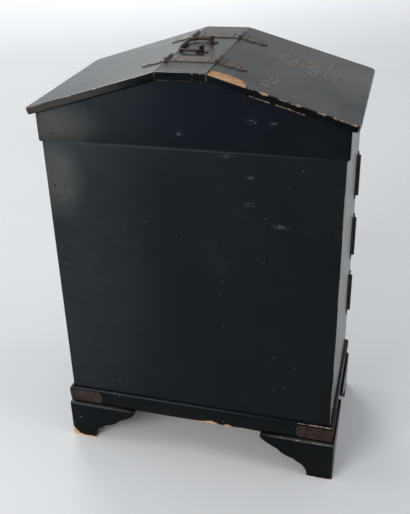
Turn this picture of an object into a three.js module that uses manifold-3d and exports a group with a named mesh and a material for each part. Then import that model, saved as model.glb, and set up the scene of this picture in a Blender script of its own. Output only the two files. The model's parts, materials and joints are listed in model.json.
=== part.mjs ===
// A black lacquer cabinet with a pair of front doors, shelves, scalloped bracket feet and a gabled roof.
// The roof is a flat ridge board with two sloping flaps hinged to it, over a shallow compartment,
// and the whole cabinet is lifted by a bail on the ridge.
// Millimetres, +Z up, front towards -Y, origin on the floor under the middle of the roof.

import * as THREE from 'three';
import { mergeVertices } from 'three/addons/utils/BufferGeometryUtils.js';
import Module from 'manifold-3d';

const wasm = await Module();
wasm.setup();

// Case
const caseWidth = 350;
const caseDepth = 192; // over the closed doors
const openingHeight = 355.5; // from the top of the base moulding to the upper band
const sideThickness = 11;
const backThickness = 9;
const bottomThickness = 12;
const shelfThickness = 8;
const shelfCount = 2;
const shelfSetBack = 2;
const housingDepth = 4; // how far shelves and boards are let into the sides

// Upper band under the roof
const bandHeight = 36; // at the eaves
const bandThickness = 13;
const bandProud = 3.1;
const bandArris = 2.4;

// Roof
const roofPitch = THREE.MathUtils.degToRad( 16.9 );
const ridgeWidth = 57;
const roofThickness = 8.5;
const flapLength = 167; // down the slope, from the hinge line
const backOverhang = 11;
const frontOverhang = 20; // over the doors and their knobs
const eaveCornerRadius = 7;
const roofArris = 1.6;
const roofJoint = 1; // open joint between the ridge board and a flap

// Base
const footHeight = 57.5;
const footProud = 6.5;
const footThickness = 11;
const footReach = 95; // length of each arm of a foot
const footBase = 33; // width of a foot where it stands
const footHeel = 6.5; // upright step at the foot's inner edge
const footArris = 1.4;
const footTip = 3.5; // height of the arm's end
const glueBlock = 20;
const mouldingHeight = 27;
const mouldingProud = 3.7;
const mountReach = 42;
const mountHeight = 19;
const mountCusp = 3; // how far the middle of a mount's end stands past its corners
const mountThickness = 0.7;

// Doors
const doorThickness = 12.8;
const doorGap = 0.8;
const doorBorder = 22; // width of the raised border round the sunk field
const fieldDepth = 1.6;
const knobHeight = 13; // less than the front overhang
const knobRadius = 5.6;
const knobNeck = 2.5;
const knobRoseRadius = 8;

// Hinges
const leafThickness = 1;
const knuckleRadius = 2;
const knuckleGap = 0.4;
const pinRadius = 1;
const hingesPerDoor = 3;
const doorHingeHeight = 56;
const caseLeafWidth = 14;
const doorLeafWidth = 24;
const strapWidth = 21;
const strapSpacing = 117;
const flapLeafLength = 34;
const flapLeafLobe = 8; // radius of the round tip

// Bail handle
const postSpacing = 46;
const postRadius = 2.8;
const postHeadRadius = 3.8;
const postHeadHeight = 3.4;
const rosetteRadius = 8.2;
const rosetteThickness = 1;
const rosetteLobes = 8;
const bailPivotHeight = 3; // above the ridge board
const bailReach = 27.5;
const bailRadius = 1.6;
const bailBend = 12;
const gripRadius = 2.4;
const gripLength = 32;
const gripRings = 5;

// Fits and edges
const fit = 0.2; // between pieces that rest on each other
const runningGap = 0.3; // round a pin
const arris = 1.1; // rounding of a board's show edges

// Worked out from the sizes above
const halfWidth = caseWidth / 2;
const halfDepth = caseDepth / 2;
const caseBottom = footHeight;
const baseTop = footHeight + mouldingHeight;
const caseTop = baseTop + openingHeight;
const innerHalf = halfWidth - sideThickness;
const doorBack = - halfDepth + doorThickness;
const caseFront = doorBack + fit;
const backInside = halfDepth - backThickness;
const bandHalf = halfWidth + bandProud;
const bandInside = halfDepth + bandProud - bandThickness;
const bandBottom = caseTop + fit;
const hingeRise = knuckleRadius + 0.3; // a hinge line above the boards it lies on
const leafDrop = hingeRise - fit; // from a hinge line down to a leaf's underside
const foldX = ridgeWidth / 2;
const slope = Math.tan( roofPitch );
const flapDrop = ( hingeRise + roofThickness ) / Math.cos( roofPitch );
const axisZ = caseTop + bandHeight + ( bandHalf - foldX ) * slope + flapDrop;
const ridgeTop = axisZ - hingeRise;
const ridgeUnder = axisZ - flapDrop;
const roofHalfDepth = ( caseDepth + frontOverhang + backOverhang ) / 2;
const caseMiddle = ( frontOverhang - backOverhang ) / 2; // how far the case's middle lies behind the roof's

// Height of the roof's underside at a distance from the middle.
function roofUnder( x ) {

	return ridgeUnder - Math.max( 0, x - foldX ) * slope;

}

// Finishes
const lacquer = new THREE.MeshStandardMaterial( { color: 0x101418, roughness: 0.22, metalness: 0 } );
const innerLacquer = new THREE.MeshStandardMaterial( { color: 0x1a1310, roughness: 0.45, metalness: 0 } );
const iron = new THREE.MeshStandardMaterial( { color: 0x3b2d2a, roughness: 0.55, metalness: 0.8 } );
const copper = new THREE.MeshStandardMaterial( { color: 0x5d3a2a, roughness: 0.5, metalness: 0.8 } );

// Turns that point a piece's own +Z to one side of the cabinet and keep its +Y upright.
const quarter = Math.PI / 2;
const facing = {
	front: [ quarter, 0, 0 ],
	back: [ quarter, Math.PI, 0 ],
	right: [ quarter, quarter, 0 ],
	left: [ quarter, - quarter, 0 ],
};

const sides = [ { side: 'left', sign: - 1 }, { side: 'right', sign: 1 } ];
const ends = [ { end: 'front', sign: - 1 }, { end: 'back', sign: 1 } ];

// The roof goes straight into the cabinet, and all that is under it into the body.
const cabinet = new THREE.Group();
const body = new THREE.Group();
body.position.y = caseMiddle;
cabinet.add( body );

// Solids and booleans

function solid( geometry ) {

	const bare = new THREE.BufferGeometry();
	bare.setAttribute( 'position', geometry.getAttribute( 'position' ) );
	bare.setIndex( geometry.getIndex() );
	const merged = mergeVertices( bare, 1e-4 );
	return new wasm.Manifold( new wasm.Mesh( {
		numProp: 3,
		vertProperties: new Float32Array( merged.getAttribute( 'position' ).array ),
		triVerts: new Uint32Array( merged.getIndex().array ),
	} ) );

}

function shaped( manifold ) {

	const mesh = manifold.getMesh();
	const geometry = new THREE.BufferGeometry();
	geometry.setAttribute( 'position', new THREE.BufferAttribute( new Float32Array( mesh.vertProperties ), 3 ) );
	geometry.setIndex( new THREE.BufferAttribute( new Uint32Array( mesh.triVerts ), 1 ) );
	geometry.computeVertexNormals();
	return geometry;

}

function turnInsideOut( geometry ) {

	const index = geometry.getIndex();
	for ( let i = 0; i < index.count; i += 3 ) {

		const second = index.getX( i + 1 );
		index.setX( i + 1, index.getX( i + 2 ) );
		index.setX( i + 2, second );

	}

	geometry.computeVertexNormals();
	return geometry;

}

function mirrored( geometry ) {

	return turnInsideOut( geometry.clone().scale( - 1, 1, 1 ) );

}

function signedVolume( geometry ) {

	const positions = geometry.getAttribute( 'position' );
	const index = geometry.getIndex();
	const corner = [ new THREE.Vector3(), new THREE.Vector3(), new THREE.Vector3() ];
	let volume = 0;
	for ( let i = 0; i < index.count; i += 3 ) {

		corner.forEach( ( c, k ) => c.fromBufferAttribute( positions, index.getX( i + k ) ) );
		volume += corner[ 0 ].dot( corner[ 1 ].cross( corner[ 2 ] ) ) / 6;

	}

	return volume;

}

// Shapes

// A closed skin through rings of points, each ring with one point for each point of the outline.
function skin( rings, outline ) {

	const count = outline.length;
	const index = [];
	for ( let ring = 0; ring < rings.length - 1; ring ++ ) {

		for ( let i = 0; i < count; i ++ ) {

			const a = ring * count + i;
			const b = ring * count + ( i + 1 ) % count;
			index.push( a, b, b + count, a, b + count, a + count );

		}

	}

	const last = ( rings.length - 1 ) * count;
	for ( const [ a, b, c ] of THREE.ShapeUtils.triangulateShape( outline, [] ) ) {

		index.push( a, c, b, last + a, last + b, last + c );

	}

	const geometry = new THREE.BufferGeometry();
	const positions = rings.flat().flatMap( ( p ) => [ p.x, p.y, p.z ] );
	geometry.setAttribute( 'position', new THREE.Float32BufferAttribute( positions, 3 ) );
	geometry.setIndex( index );
	geometry.computeVertexNormals();
	return signedVolume( geometry ) < 0 ? turnInsideOut( geometry ) : geometry;

}

// An outline that runs anticlockwise, moved inwards by a distance with its corners kept.
function inset( outline, distance ) {

	const count = outline.length;
	return outline.map( ( point, i ) => {

		const before = point.clone().sub( outline[ ( i + count - 1 ) % count ] ).normalize();
		const after = outline[ ( i + 1 ) % count ].clone().sub( point ).normalize();
		const inwardBefore = new THREE.Vector2( - before.y, before.x );
		const inwardAfter = new THREE.Vector2( - after.y, after.x );
		const middle = inwardBefore.add( inwardAfter ).normalize();
		return point.clone().addScaledVector( middle, distance / middle.dot( inwardAfter ) );

	} );

}

// A quarter round in steps: how far in from the edge, and how far from the face, each step lies.
function quarterRound( radius, steps = 2 ) {

	return Array.from( { length: steps + 1 }, ( _, i ) => {

		const angle = quarter * i / steps;
		return { inward: radius * ( 1 - Math.sin( angle ) ), along: radius * ( 1 - Math.cos( angle ) ) };

	} );

}

// A board from z = 0 at its back up to its show face, with rounded edges on either face.
function board( outline, thickness, { show = arris, hidden = 0 } = {} ) {

	const low = hidden > 0 ? quarterRound( hidden ) : [ { inward: 0, along: 0 } ];
	const high = show > 0 ? quarterRound( show ).reverse() : [ { inward: 0, along: 0 } ];
	const steps = [
		...low.map( ( s ) => ( { inward: s.inward, z: s.along } ) ),
		...high.map( ( s ) => ( { inward: s.inward, z: thickness - s.along } ) ),
	];
	const rings = steps.map( ( { inward, z } ) =>
		inset( outline, inward ).map( ( p ) => new THREE.Vector3( p.x, p.y, z ) ) );
	return skin( rings, outline );

}

function outlineOf( points ) {

	return points.map( ( [ x, y ] ) => new THREE.Vector2( x, y ) );

}

function rectangle( x0, y0, x1, y1 ) {

	return outlineOf( [ [ x0, y0 ], [ x1, y0 ], [ x1, y1 ], [ x0, y1 ] ] );

}

function block( x0, y0, z0, x1, y1, z1 ) {

	const geometry = new THREE.BoxGeometry( x1 - x0, y1 - y0, z1 - z0 );
	return geometry.translate( ( x0 + x1 ) / 2, ( y0 + y1 ) / 2, ( z0 + z1 ) / 2 );

}

// A round bar along Y at a place on X.
function roundBar( radius, y0, y1, x = 0, facets = 16 ) {

	return new THREE.CylinderGeometry( radius, radius, y1 - y0, facets ).translate( x, ( y0 + y1 ) / 2, 0 );

}

// A turned piece: its profile of radius and height goes round +Z.
function turned( profile, facets ) {

	const lathe = new THREE.LatheGeometry( outlineOf( profile ), facets );
	lathe.rotateX( quarter );
	return signedVolume( lathe ) < 0 ? turnInsideOut( lathe ) : lathe;

}

function piece( name, geometry, material, position = [ 0, 0, 0 ], rotation = [ 0, 0, 0 ] ) {

	const mesh = new THREE.Mesh( geometry, material );
	mesh.name = name;
	mesh.position.set( ...position );
	mesh.rotation.set( ...rotation );
	return mesh;

}

// Case: two sides, a back between them, and boards let into housings in the sides

const bayHeight = ( openingHeight - shelfThickness * ( shelfCount + 1 ) ) / ( shelfCount + 1 );
const shelfTops = Array.from( { length: shelfCount }, ( _, i ) =>
	baseTop + ( i + 1 ) * ( bayHeight + shelfThickness ) );

// Drawn for the right-hand side, from behind its show face: x is depth and y is height.
function sidePanel() {

	const outline = rectangle( caseFront, caseBottom, halfDepth, caseTop );
	const housings = [
		{ low: baseTop - bottomThickness - fit, high: baseTop + fit },
		...shelfTops.map( ( top ) => ( { low: top - shelfThickness - fit, high: top + fit } ) ),
		{ low: caseTop - shelfThickness - fit, high: caseTop + 1 },
	];
	const cuts = housings.map( ( { low, high } ) =>
		solid( block( caseFront - 1, low, - 1, backInside, high, housingDepth + fit ) ) );
	return shaped( cuts.reduce( ( panel, cut ) => panel.subtract( cut ), solid( board( outline, sideThickness ) ) ) );

}

const sideGeometry = sidePanel();
body.add( piece( 'side_panel_right', sideGeometry, lacquer, [ innerHalf, 0, 0 ], facing.right ) );
body.add( piece( 'side_panel_left', mirrored( sideGeometry ), lacquer, [ - innerHalf, 0, 0 ], facing.left ) );

const backOutline = rectangle( - innerHalf + fit, caseBottom, innerHalf - fit, caseTop );
body.add( piece( 'back_panel', board( backOutline, backThickness, { show: 0 } ), lacquer,
	[ 0, backInside, 0 ], facing.back ) );

function letInBoard( name, top, thickness, frontY ) {

	const half = innerHalf + housingDepth;
	const outline = rectangle( - half, frontY, half, backInside - fit );
	body.add( piece( name, board( outline, thickness, { show: 0 } ), innerLacquer, [ 0, 0, top - thickness ] ) );

}

letInBoard( 'bottom_board', baseTop, bottomThickness, caseFront );
shelfTops.forEach( ( top, i ) => letInBoard( `shelf_${ i + 1 }`, top, shelfThickness, caseFront + shelfSetBack ) );
letInBoard( 'deck_board', caseTop, shelfThickness, caseFront );

const railOutline = rectangle( - halfWidth, caseBottom, halfWidth, baseTop );
body.add( piece( 'base_rail', board( railOutline, doorThickness ), lacquer, [ 0, doorBack, 0 ], facing.front ) );

// Upper band: two gable boards, and two side boards between them

const bandCorner = quarterRound( bandArris + 0.4 );
const bandFoot = bandCorner.map( ( s ) => [ bandHalf - s.inward, bandBottom + s.along ] );
const bandEaves = roofUnder( bandHalf ) - fit;
const gableHalf = [ ...bandFoot, [ bandHalf, bandEaves ], [ foldX, ridgeUnder - fit ] ];
const gableOutline = outlineOf( [
	...gableHalf,
	...gableHalf.map( ( [ x, z ] ) => [ - x, z ] ).reverse(),
] );
for ( const { end, sign } of ends ) {

	body.add( piece( `gable_board_${ end }`, board( gableOutline, bandThickness, { show: bandArris } ), lacquer,
		[ 0, sign * bandInside, 0 ], facing[ end ] ) );

}

// The side boards' section: x is across the cabinet, and the top follows the slope of the roof.
function bandSide() {

	const inner = bandHalf - bandThickness;
	const section = outlineOf( [
		[ inner, bandBottom ], ...bandFoot, [ bandHalf, bandEaves ], [ inner, roofUnder( inner ) - fit ],
	] );
	const rings = [ - 1, 1 ].map( ( sign ) =>
		section.map( ( p ) => new THREE.Vector3( p.x, sign * ( bandInside - fit ), p.y ) ) );
	return skin( rings, section );

}

body.add( piece( 'band_board_right', bandSide(), lacquer ) );
body.add( piece( 'band_board_left', bandSide(), lacquer, [ 0, 0, 0 ], [ 0, 0, Math.PI ] ) );

// Hinges: a leaf's barrel runs along Y at its hinge line, over the leaf's plate

// Barrel knuckles are numbered 0 to 2 along the hinge. A leaf keeps its own and is cut clear of the others.
function withBarrel( leaf, { width, own, x = 0, towards, bored = true } ) {

	const clear = knuckleRadius + knuckleGap;
	let result = leaf;
	for ( let i = 0; i < 3; i ++ ) {

		const start = - width / 2 + i * width / 3;
		const low = start + ( i > 0 ? knuckleGap / 2 : 0 );
		const high = start + width / 3 - ( i < 2 ? knuckleGap / 2 : 0 );
		if ( own.includes( i ) ) {

			const web = towards > 0 ? [ x, x + knuckleRadius * 1.3 ] : [ x - knuckleRadius * 1.3, x ];
			result = result.add( solid( roundBar( knuckleRadius, low, high, x ) ) );
			result = result.add( solid( block( web[ 0 ], low, - leafDrop, web[ 1 ], high, - leafDrop + leafThickness ) ) );

		} else {

			const cutLow = i > 0 ? low - knuckleGap : low - 1;
			const cutHigh = i < 2 ? high + knuckleGap : high + 1;
			result = result.subtract( solid( block( x - clear, cutLow, - clear - 1, x + clear, cutHigh, clear ) ) );

		}

	}

	return bored ? result.subtract( solid( roundBar( pinRadius + runningGap, - width, width, x, 12 ) ) ) : result;

}

function leafPlate( x0, y0, x1, y1 ) {

	return solid( block( x0, y0, - leafDrop, x1, y1, - leafDrop + leafThickness ) );

}

// Roof: the ridge board is fixed, and each flap is drawn level at its hinge line, then tilted to the pitch

const ridgeHalf = foldX - roofJoint / 2;
const ridgeOutline = rectangle( - ridgeHalf, - roofHalfDepth, ridgeHalf, roofHalfDepth );
cabinet.add( piece( 'ridge_board', board( ridgeOutline, ridgeTop - ridgeUnder, { show: 0.6 } ), lacquer,
	[ 0, 0, ridgeUnder ] ) );

function arc( centreX, centreY, radius, from, to, steps ) {

	return Array.from( { length: steps + 1 }, ( _, i ) => {

		const angle = from + ( to - from ) * i / steps;
		return [ centreX + radius * Math.cos( angle ), centreY + radius * Math.sin( angle ) ];

	} );

}

function flapBoard() {

	const inner = ( roofJoint / 2 + hingeRise * Math.sin( roofPitch ) ) / Math.cos( roofPitch );
	const arcX = flapLength - eaveCornerRadius;
	const arcY = roofHalfDepth - eaveCornerRadius;
	const outline = outlineOf( [
		[ inner, roofHalfDepth ], [ inner, - roofHalfDepth ],
		...arc( arcX, - arcY, eaveCornerRadius, - quarter, 0, 4 ),
		...arc( arcX, arcY, eaveCornerRadius, 0, quarter, 4 ),
	] );
	const flap = board( outline, roofThickness, { show: roofArris, hidden: roofArris } );

	// The inner edge stands upright beside the ridge board, so it leans in the flap's own frame.
	const positions = flap.getAttribute( 'position' );
	for ( let i = 0; i < positions.count; i ++ ) {

		if ( positions.getX( i ) < inner + roofArris * 1.5 ) {

			positions.setX( i, inner + ( roofThickness - positions.getZ( i ) ) * slope );

		}

	}

	flap.computeVertexNormals();
	return flap;

}

// A plate with an ogee waist and a round tip, on the middle knuckle.
function flapLeaf() {

	const half = strapWidth / 2;
	const tipX = flapLeafLength - flapLeafLobe;
	const waistX = tipX - flapLeafLobe * 0.85;
	const waistY = flapLeafLobe * 0.8;
	const shoulderX = waistX - half * 0.4;
	const shape = new THREE.Shape();
	shape.moveTo( 0, - half );
	shape.lineTo( shoulderX, - half );
	shape.quadraticCurveTo( waistX, - half, waistX, - waistY );
	shape.absarc( tipX, 0, flapLeafLobe, - Math.PI * 0.68, Math.PI * 0.68, false );
	shape.lineTo( waistX, waistY );
	shape.quadraticCurveTo( waistX, half, shoulderX, half );
	shape.lineTo( 0, half );
	const plate = new THREE.ExtrudeGeometry( shape, { depth: leafThickness, bevelEnabled: false, curveSegments: 6 } );
	plate.translate( 0, 0, - leafDrop );
	return shaped( withBarrel( solid( plate ), { width: strapWidth, own: [ 1 ], towards: 1 } ) );

}

// One plate right across the ridge board, with the outer knuckles of both hinges.
function ridgeStrap() {

	let strap = leafPlate( - foldX, - strapWidth / 2, foldX, strapWidth / 2 );
	for ( const { sign } of sides ) {

		strap = withBarrel( strap, { width: strapWidth, own: [ 0, 2 ], x: sign * foldX, towards: - sign } );

	}

	return shaped( strap );

}

const flapGeometry = flapBoard();
const flapLeafGeometry = flapLeaf();
const strapGeometry = ridgeStrap();
const flapPinGeometry = roundBar( pinRadius, - strapWidth / 2, strapWidth / 2, 0, 12 );

for ( const { end, sign } of ends ) {

	cabinet.add( piece( `ridge_strap_${ end }`, strapGeometry, iron, [ 0, sign * strapSpacing / 2, axisZ ] ) );

}

for ( const { side, sign } of sides ) {

	// The left flap is the right one turned half round.
	const hingeLine = new THREE.Group();
	hingeLine.position.set( sign * foldX, 0, axisZ );
	hingeLine.rotation.z = sign > 0 ? 0 : Math.PI;
	const flap = new THREE.Group();
	flap.rotation.y = roofPitch;
	hingeLine.add( flap );
	cabinet.add( hingeLine );

	flap.add( piece( `roof_flap_${ side }`, flapGeometry, lacquer, [ 0, 0, - hingeRise - roofThickness ] ) );
	for ( const { end, sign: endSign } of ends ) {

		const y = sign * endSign * strapSpacing / 2;
		flap.add( piece( `flap_leaf_${ side }_${ end }`, flapLeafGeometry, iron, [ 0, y, 0 ] ) );
		flap.add( piece( `flap_pin_${ side }_${ end }`, flapPinGeometry, iron, [ 0, y, 0 ] ) );

	}

}

// Bail handle: a bent rod through two posts, each post on a lobed rosette

function rosette() {

	const pointsPerLobe = 5;
	const count = rosetteLobes * pointsPerLobe;
	const outline = outlineOf( Array.from( { length: count }, ( _, i ) => {

		const angle = Math.PI * 2 * i / count;
		const radius = rosetteRadius * ( 0.94 + 0.06 * Math.cos( rosetteLobes * angle ) );
		return [ radius * Math.cos( angle ), radius * Math.sin( angle ) ];

	} ) );
	const hole = new THREE.CylinderGeometry( postRadius + fit, postRadius + fit, rosetteThickness * 3, 16 );
	const disc = solid( board( outline, rosetteThickness, { show: rosetteThickness / 2 } ) );
	return shaped( disc.subtract( solid( hole.rotateX( quarter ) ) ) );

}

const headBase = bailPivotHeight + bailRadius + runningGap / 2;

function post() {

	const headMiddle = headBase + postHeadHeight / 2;
	const head = arc( 0, 0, 1, - quarter * 0.6, quarter, 6 ).map( ( [ x, y ] ) =>
		[ x * postHeadRadius, headMiddle + y * postHeadHeight / 2 ] );
	head[ head.length - 1 ][ 0 ] = 0;
	const turnedPost = turned( [ [ 0, 0 ], [ postRadius, 0 ], [ postRadius, headBase ], ...head ], 16 );
	const eye = roundBar( bailRadius + runningGap, - postRadius * 3, postRadius * 3, 0, 12 );
	return shaped( solid( turnedPost ).subtract( solid( eye.translate( 0, 0, bailPivotHeight - fit ) ) ) );

}

// A rod through points in the XY plane, with a flat ring of facets at each point.
function rod( points, radius, facets ) {

	const circle = outlineOf( arc( 0, 0, radius, 0, Math.PI * 2 * ( facets - 1 ) / facets, facets - 1 ) );
	const rings = points.map( ( point, i ) => {

		const before = points[ Math.max( 0, i - 1 ) ];
		const after = points[ Math.min( points.length - 1, i + 1 ) ];
		const heading = after.clone().sub( before ).normalize();
		return circle.map( ( c ) =>
			new THREE.Vector3( point.x - heading.y * c.x, point.y + heading.x * c.x, c.y ) );

	} );
	return skin( rings, circle );

}

// Drawn lying level towards +X from its pivots, which are on Y.
function bail() {

	const armY = postSpacing / 2 + postHeadRadius + runningGap + bailRadius;
	const eyeBend = bailRadius * 1.4;
	const stubEnd = postSpacing / 2 - postRadius - bailRadius / 2;
	const half = [
		[ 0, stubEnd ],
		...arc( eyeBend, armY - eyeBend, eyeBend, Math.PI, quarter, 4 ),
		...arc( bailReach - bailBend, armY - bailBend, bailBend, quarter, 0, 6 ),
	];
	const path = outlineOf( [ ...half, ...half.map( ( [ x, y ] ) => [ x, - y ] ).reverse() ] );
	const valley = bailRadius + ( gripRadius - bailRadius ) * 0.45;
	const grip = [ [ 0, - gripLength / 2 ], [ bailRadius * 0.8, - gripLength / 2 ] ];
	for ( let i = 0; i < gripRings; i ++ ) {

		const start = - gripLength / 2 + gripLength * i / gripRings;
		const step = gripLength / gripRings;
		grip.push( [ i > 0 ? valley : bailRadius * 1.1, start + step * 0.12 ] );
		grip.push( [ gripRadius, start + step * 0.35 ], [ gripRadius, start + step * 0.65 ] );

	}

	grip.push( [ bailRadius * 1.1, gripLength / 2 - 0.8 ], [ bailRadius * 0.8, gripLength / 2 ], [ 0, gripLength / 2 ] );
	const beads = turned( grip, 12 ).rotateX( quarter ).translate( bailReach, 0, 0 );
	return shaped( solid( rod( path, bailRadius, 10 ) ).add( solid( beads ) ) );

}

const rosetteGeometry = rosette();
const postGeometry = post();
for ( const { end, sign } of ends ) {

	const place = [ 0, sign * postSpacing / 2, ridgeTop + fit ];
	cabinet.add( piece( `handle_rosette_${ end }`, rosetteGeometry, iron, place ) );
	cabinet.add( piece( `handle_post_${ end }`, postGeometry, iron, place ) );

}

// At rest the bail lies on the ridge board, so it tips down a little from its pivots.
const bailTip = Math.asin( ( bailPivotHeight - gripRadius - fit ) / bailReach );
cabinet.add( piece( 'bail_handle', bail(), iron, [ 0, 0, ridgeTop + bailPivotHeight ], [ 0, bailTip, 0 ] ) );

// Base moulding: one profile along each side, mitred at the corners

// How far the moulding's face stands out of the case at a height above its lower edge.
function mouldingFace( height ) {

	const t = height / mouldingHeight;
	const swell = 0.68 + 0.32 * Math.sin( Math.min( 1, t / 0.75 ) * quarter );
	const heel = t < 0.06 ? 0.6 + 0.4 * Math.sin( t / 0.06 * quarter ) : 1;
	const crown = t > 0.84 ? Math.cos( Math.min( 1, ( t - 0.84 ) / 0.17 ) * quarter ) : 1;
	return mouldingProud * swell * heel * crown;

}

const mouldingSteps = [ 0, 0.03, 0.06, 0.25, 0.45, 0.65, 0.78, 0.84, 0.89, 0.94, 0.98, 1 ];

function mouldingRun( halfLength ) {

	const profile = outlineOf( [
		[ fit, mouldingHeight ], [ fit, 0 ],
		...mouldingSteps.map( ( t ) => [ mouldingFace( t * mouldingHeight ), t * mouldingHeight ] ),
	] );
	const rings = [ - 1, 1 ].map( ( sign ) => profile.map( ( p ) =>
		new THREE.Vector3( sign * ( halfLength + p.x - fit / 2 ), - p.x, p.y ) ) );
	return skin( rings, profile );

}

for ( const { name, halfLength, reach, turn } of [
	{ name: 'front', halfLength: halfWidth, reach: halfDepth, turn: 0 },
	{ name: 'right', halfLength: halfDepth, reach: halfWidth, turn: quarter },
	{ name: 'back', halfLength: halfWidth, reach: halfDepth, turn: Math.PI },
	{ name: 'left', halfLength: halfDepth, reach: halfWidth, turn: - quarter },
] ) {

	const run = new THREE.Group();
	run.rotation.z = turn;
	run.add( piece( `base_moulding_${ name }`, mouldingRun( halfLength ), lacquer, [ 0, - reach, footHeight ] ) );
	body.add( run );

}

// A thin strip over the moulding's own face, bent round the corner where x and -y grow, with rounded ends.
function cornerMount() {

	const low = ( mouldingHeight - mountHeight ) / 2;
	const steps = [ 0, 0.25, 0.5, 0.75, 1 ];
	const strip = ( lift ) => steps.map( ( t ) => ( {
		out: mouldingFace( low + t * mountHeight ) + fit + lift,
		height: low + t * mountHeight,
		reach: mountReach - mountCusp * ( 2 * t - 1 ) ** 2,
	} ) );
	const section = [ ...strip( mountThickness ), ...strip( 0 ).reverse() ];
	const rings = [
		section.map( ( s ) => new THREE.Vector3( - s.reach, - s.out, s.height ) ),
		section.map( ( s ) => new THREE.Vector3( s.out, - s.out, s.height ) ),
		section.map( ( s ) => new THREE.Vector3( s.out, s.reach, s.height ) ),
	];
	return skin( rings, outlineOf( section.map( ( s ) => [ s.out, s.height ] ) ) );

}

// Bracket feet: an L in plan, scalloped along both arms, with a glue block in the corner

// Each scallop as shares of the arm's free length and of the foot's height above its heel.
const scallops = [
	{ start: [ 0, 0 ], bow: [ 0.04, 0.24 ], end: [ 0.23, 0.33 ] },
	{ start: [ 0.28, 0.4 ], bow: [ 0.4, 0.43 ], end: [ 0.55, 0.55 ] },
	{ start: [ 0.62, 0.65 ], bow: [ 0.8, 0.75 ], end: [ 0.97, 0.93 ] },
];

// All that a foot keeps, seen along one of its arms: x from the outer corner and y up from the floor.
function scallopedSide() {

	const top = footHeight - fit;
	const run = footReach - footBase;
	const rise = top - footHeel - footTip;
	const at = ( [ along, up ] ) => [ footBase + along * run, footHeel + up * rise ];
	const shape = new THREE.Shape();
	shape.moveTo( - 1, - 1 );
	shape.lineTo( footBase, - 1 );
	for ( const { start, bow, end } of scallops ) {

		shape.lineTo( ...at( start ) );
		shape.quadraticCurveTo( ...at( bow ), ...at( end ) );

	}

	shape.lineTo( footReach, top - footTip );
	shape.lineTo( footReach, top + 1 );
	shape.lineTo( - 1, top + 1 );
	return new THREE.ExtrudeGeometry( shape, { depth: footReach + 2, bevelEnabled: false, curveSegments: 4 } );

}

function bracketFoot() {

	const corner = footArris + 0.6;
	const blockEnd = footThickness + glueBlock;
	const plan = outlineOf( [
		...arc( corner, corner, corner, Math.PI, Math.PI + quarter, 2 ),
		[ footReach, 0 ], [ footReach, footThickness ], [ blockEnd, footThickness ],
		[ blockEnd, blockEnd ], [ footThickness, blockEnd ], [ footThickness, footReach ], [ 0, footReach ],
	] );
	const axes = [ new THREE.Vector3( 1, 0, 0 ), new THREE.Vector3( 0, 1, 0 ), new THREE.Vector3( 0, 0, 1 ) ];
	const alongX = new THREE.Matrix4().makeBasis( axes[ 0 ], axes[ 2 ], axes[ 1 ].clone().negate() );
	const alongY = new THREE.Matrix4().makeBasis( axes[ 1 ], axes[ 2 ], axes[ 0 ] );
	const keepX = scallopedSide().applyMatrix4( alongX ).translate( 0, footReach + 1, 0 );
	const keepY = scallopedSide().applyMatrix4( alongY ).translate( - 1, 0, 0 );
	return shaped( solid( board( plan, footHeight - fit, { show: footArris } ) )
		.intersect( solid( keepX ) ).intersect( solid( keepY ) ) );

}

const footGeometry = bracketFoot();
const mountGeometry = cornerMount();
for ( const { end, sign: signY } of ends ) {

	for ( const { side, sign: signX } of sides ) {

		// The turn that brings the foot from the front left corner, where it is drawn, to this one.
		const turn = signY < 0 ? ( signX < 0 ? 0 : quarter ) : ( signX < 0 ? - quarter : Math.PI );
		body.add( piece( `bracket_foot_${ end }_${ side }`, footGeometry, lacquer,
			[ signX * ( halfWidth + footProud ), signY * ( halfDepth + footProud ), 0 ], [ 0, 0, turn ] ) );
		body.add( piece( `corner_mount_${ end }_${ side }`, mountGeometry, copper,
			[ signX * halfWidth, signY * halfDepth, footHeight ], [ 0, 0, turn - quarter ] ) );

	}

}

// Doors: each lies over the case's front edges, on hinges whose leaves turn round its outer edge

const doorHeight = openingHeight - 2 * doorGap;

// The right-hand door, drawn with its hinged edge at x = 0 and its meeting edge towards -x.
function door() {

	const width = halfWidth - doorGap / 2;
	const field = rectangle( - width + doorBorder, doorBorder, - doorBorder, doorHeight - doorBorder );
	const sunk = board( field, fieldDepth + 1, { show: 0 } ).translate( 0, 0, doorThickness - fieldDepth );
	const panel = board( rectangle( - width, 0, 0, doorHeight ), doorThickness );
	return shaped( solid( panel ).subtract( solid( sunk ) ) );

}

// The leaf on the side of the case, with the outer knuckles and the pin between them.
function caseLeaf() {

	const half = doorHingeHeight / 2;
	const plate = leafPlate( 0, - half, caseLeafWidth, half );
	const leaf = withBarrel( plate, { width: doorHingeHeight, own: [ 0, 2 ], towards: 1, bored: false } );
	return shaped( leaf.add( solid( roundBar( pinRadius, - half / 2, half / 2, 0, 12 ) ) ) );

}

// The leaf along the door's edge, which turns the corner onto the door's face.
function doorLeaf() {

	const half = doorHingeHeight / 2;
	const face = - doorThickness - fit * 1.5;
	const edgePlate = leafPlate( face - leafThickness, - half, 0, half );
	const facePlate = solid( block( face - leafThickness, - half, - leafDrop - doorLeafWidth,
		face, half, - leafDrop + leafThickness ) );
	const leaf = edgePlate.add( facePlate );
	return shaped( withBarrel( leaf, { width: doorHingeHeight, own: [ 1 ], towards: - 1 } ) );

}

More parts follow.
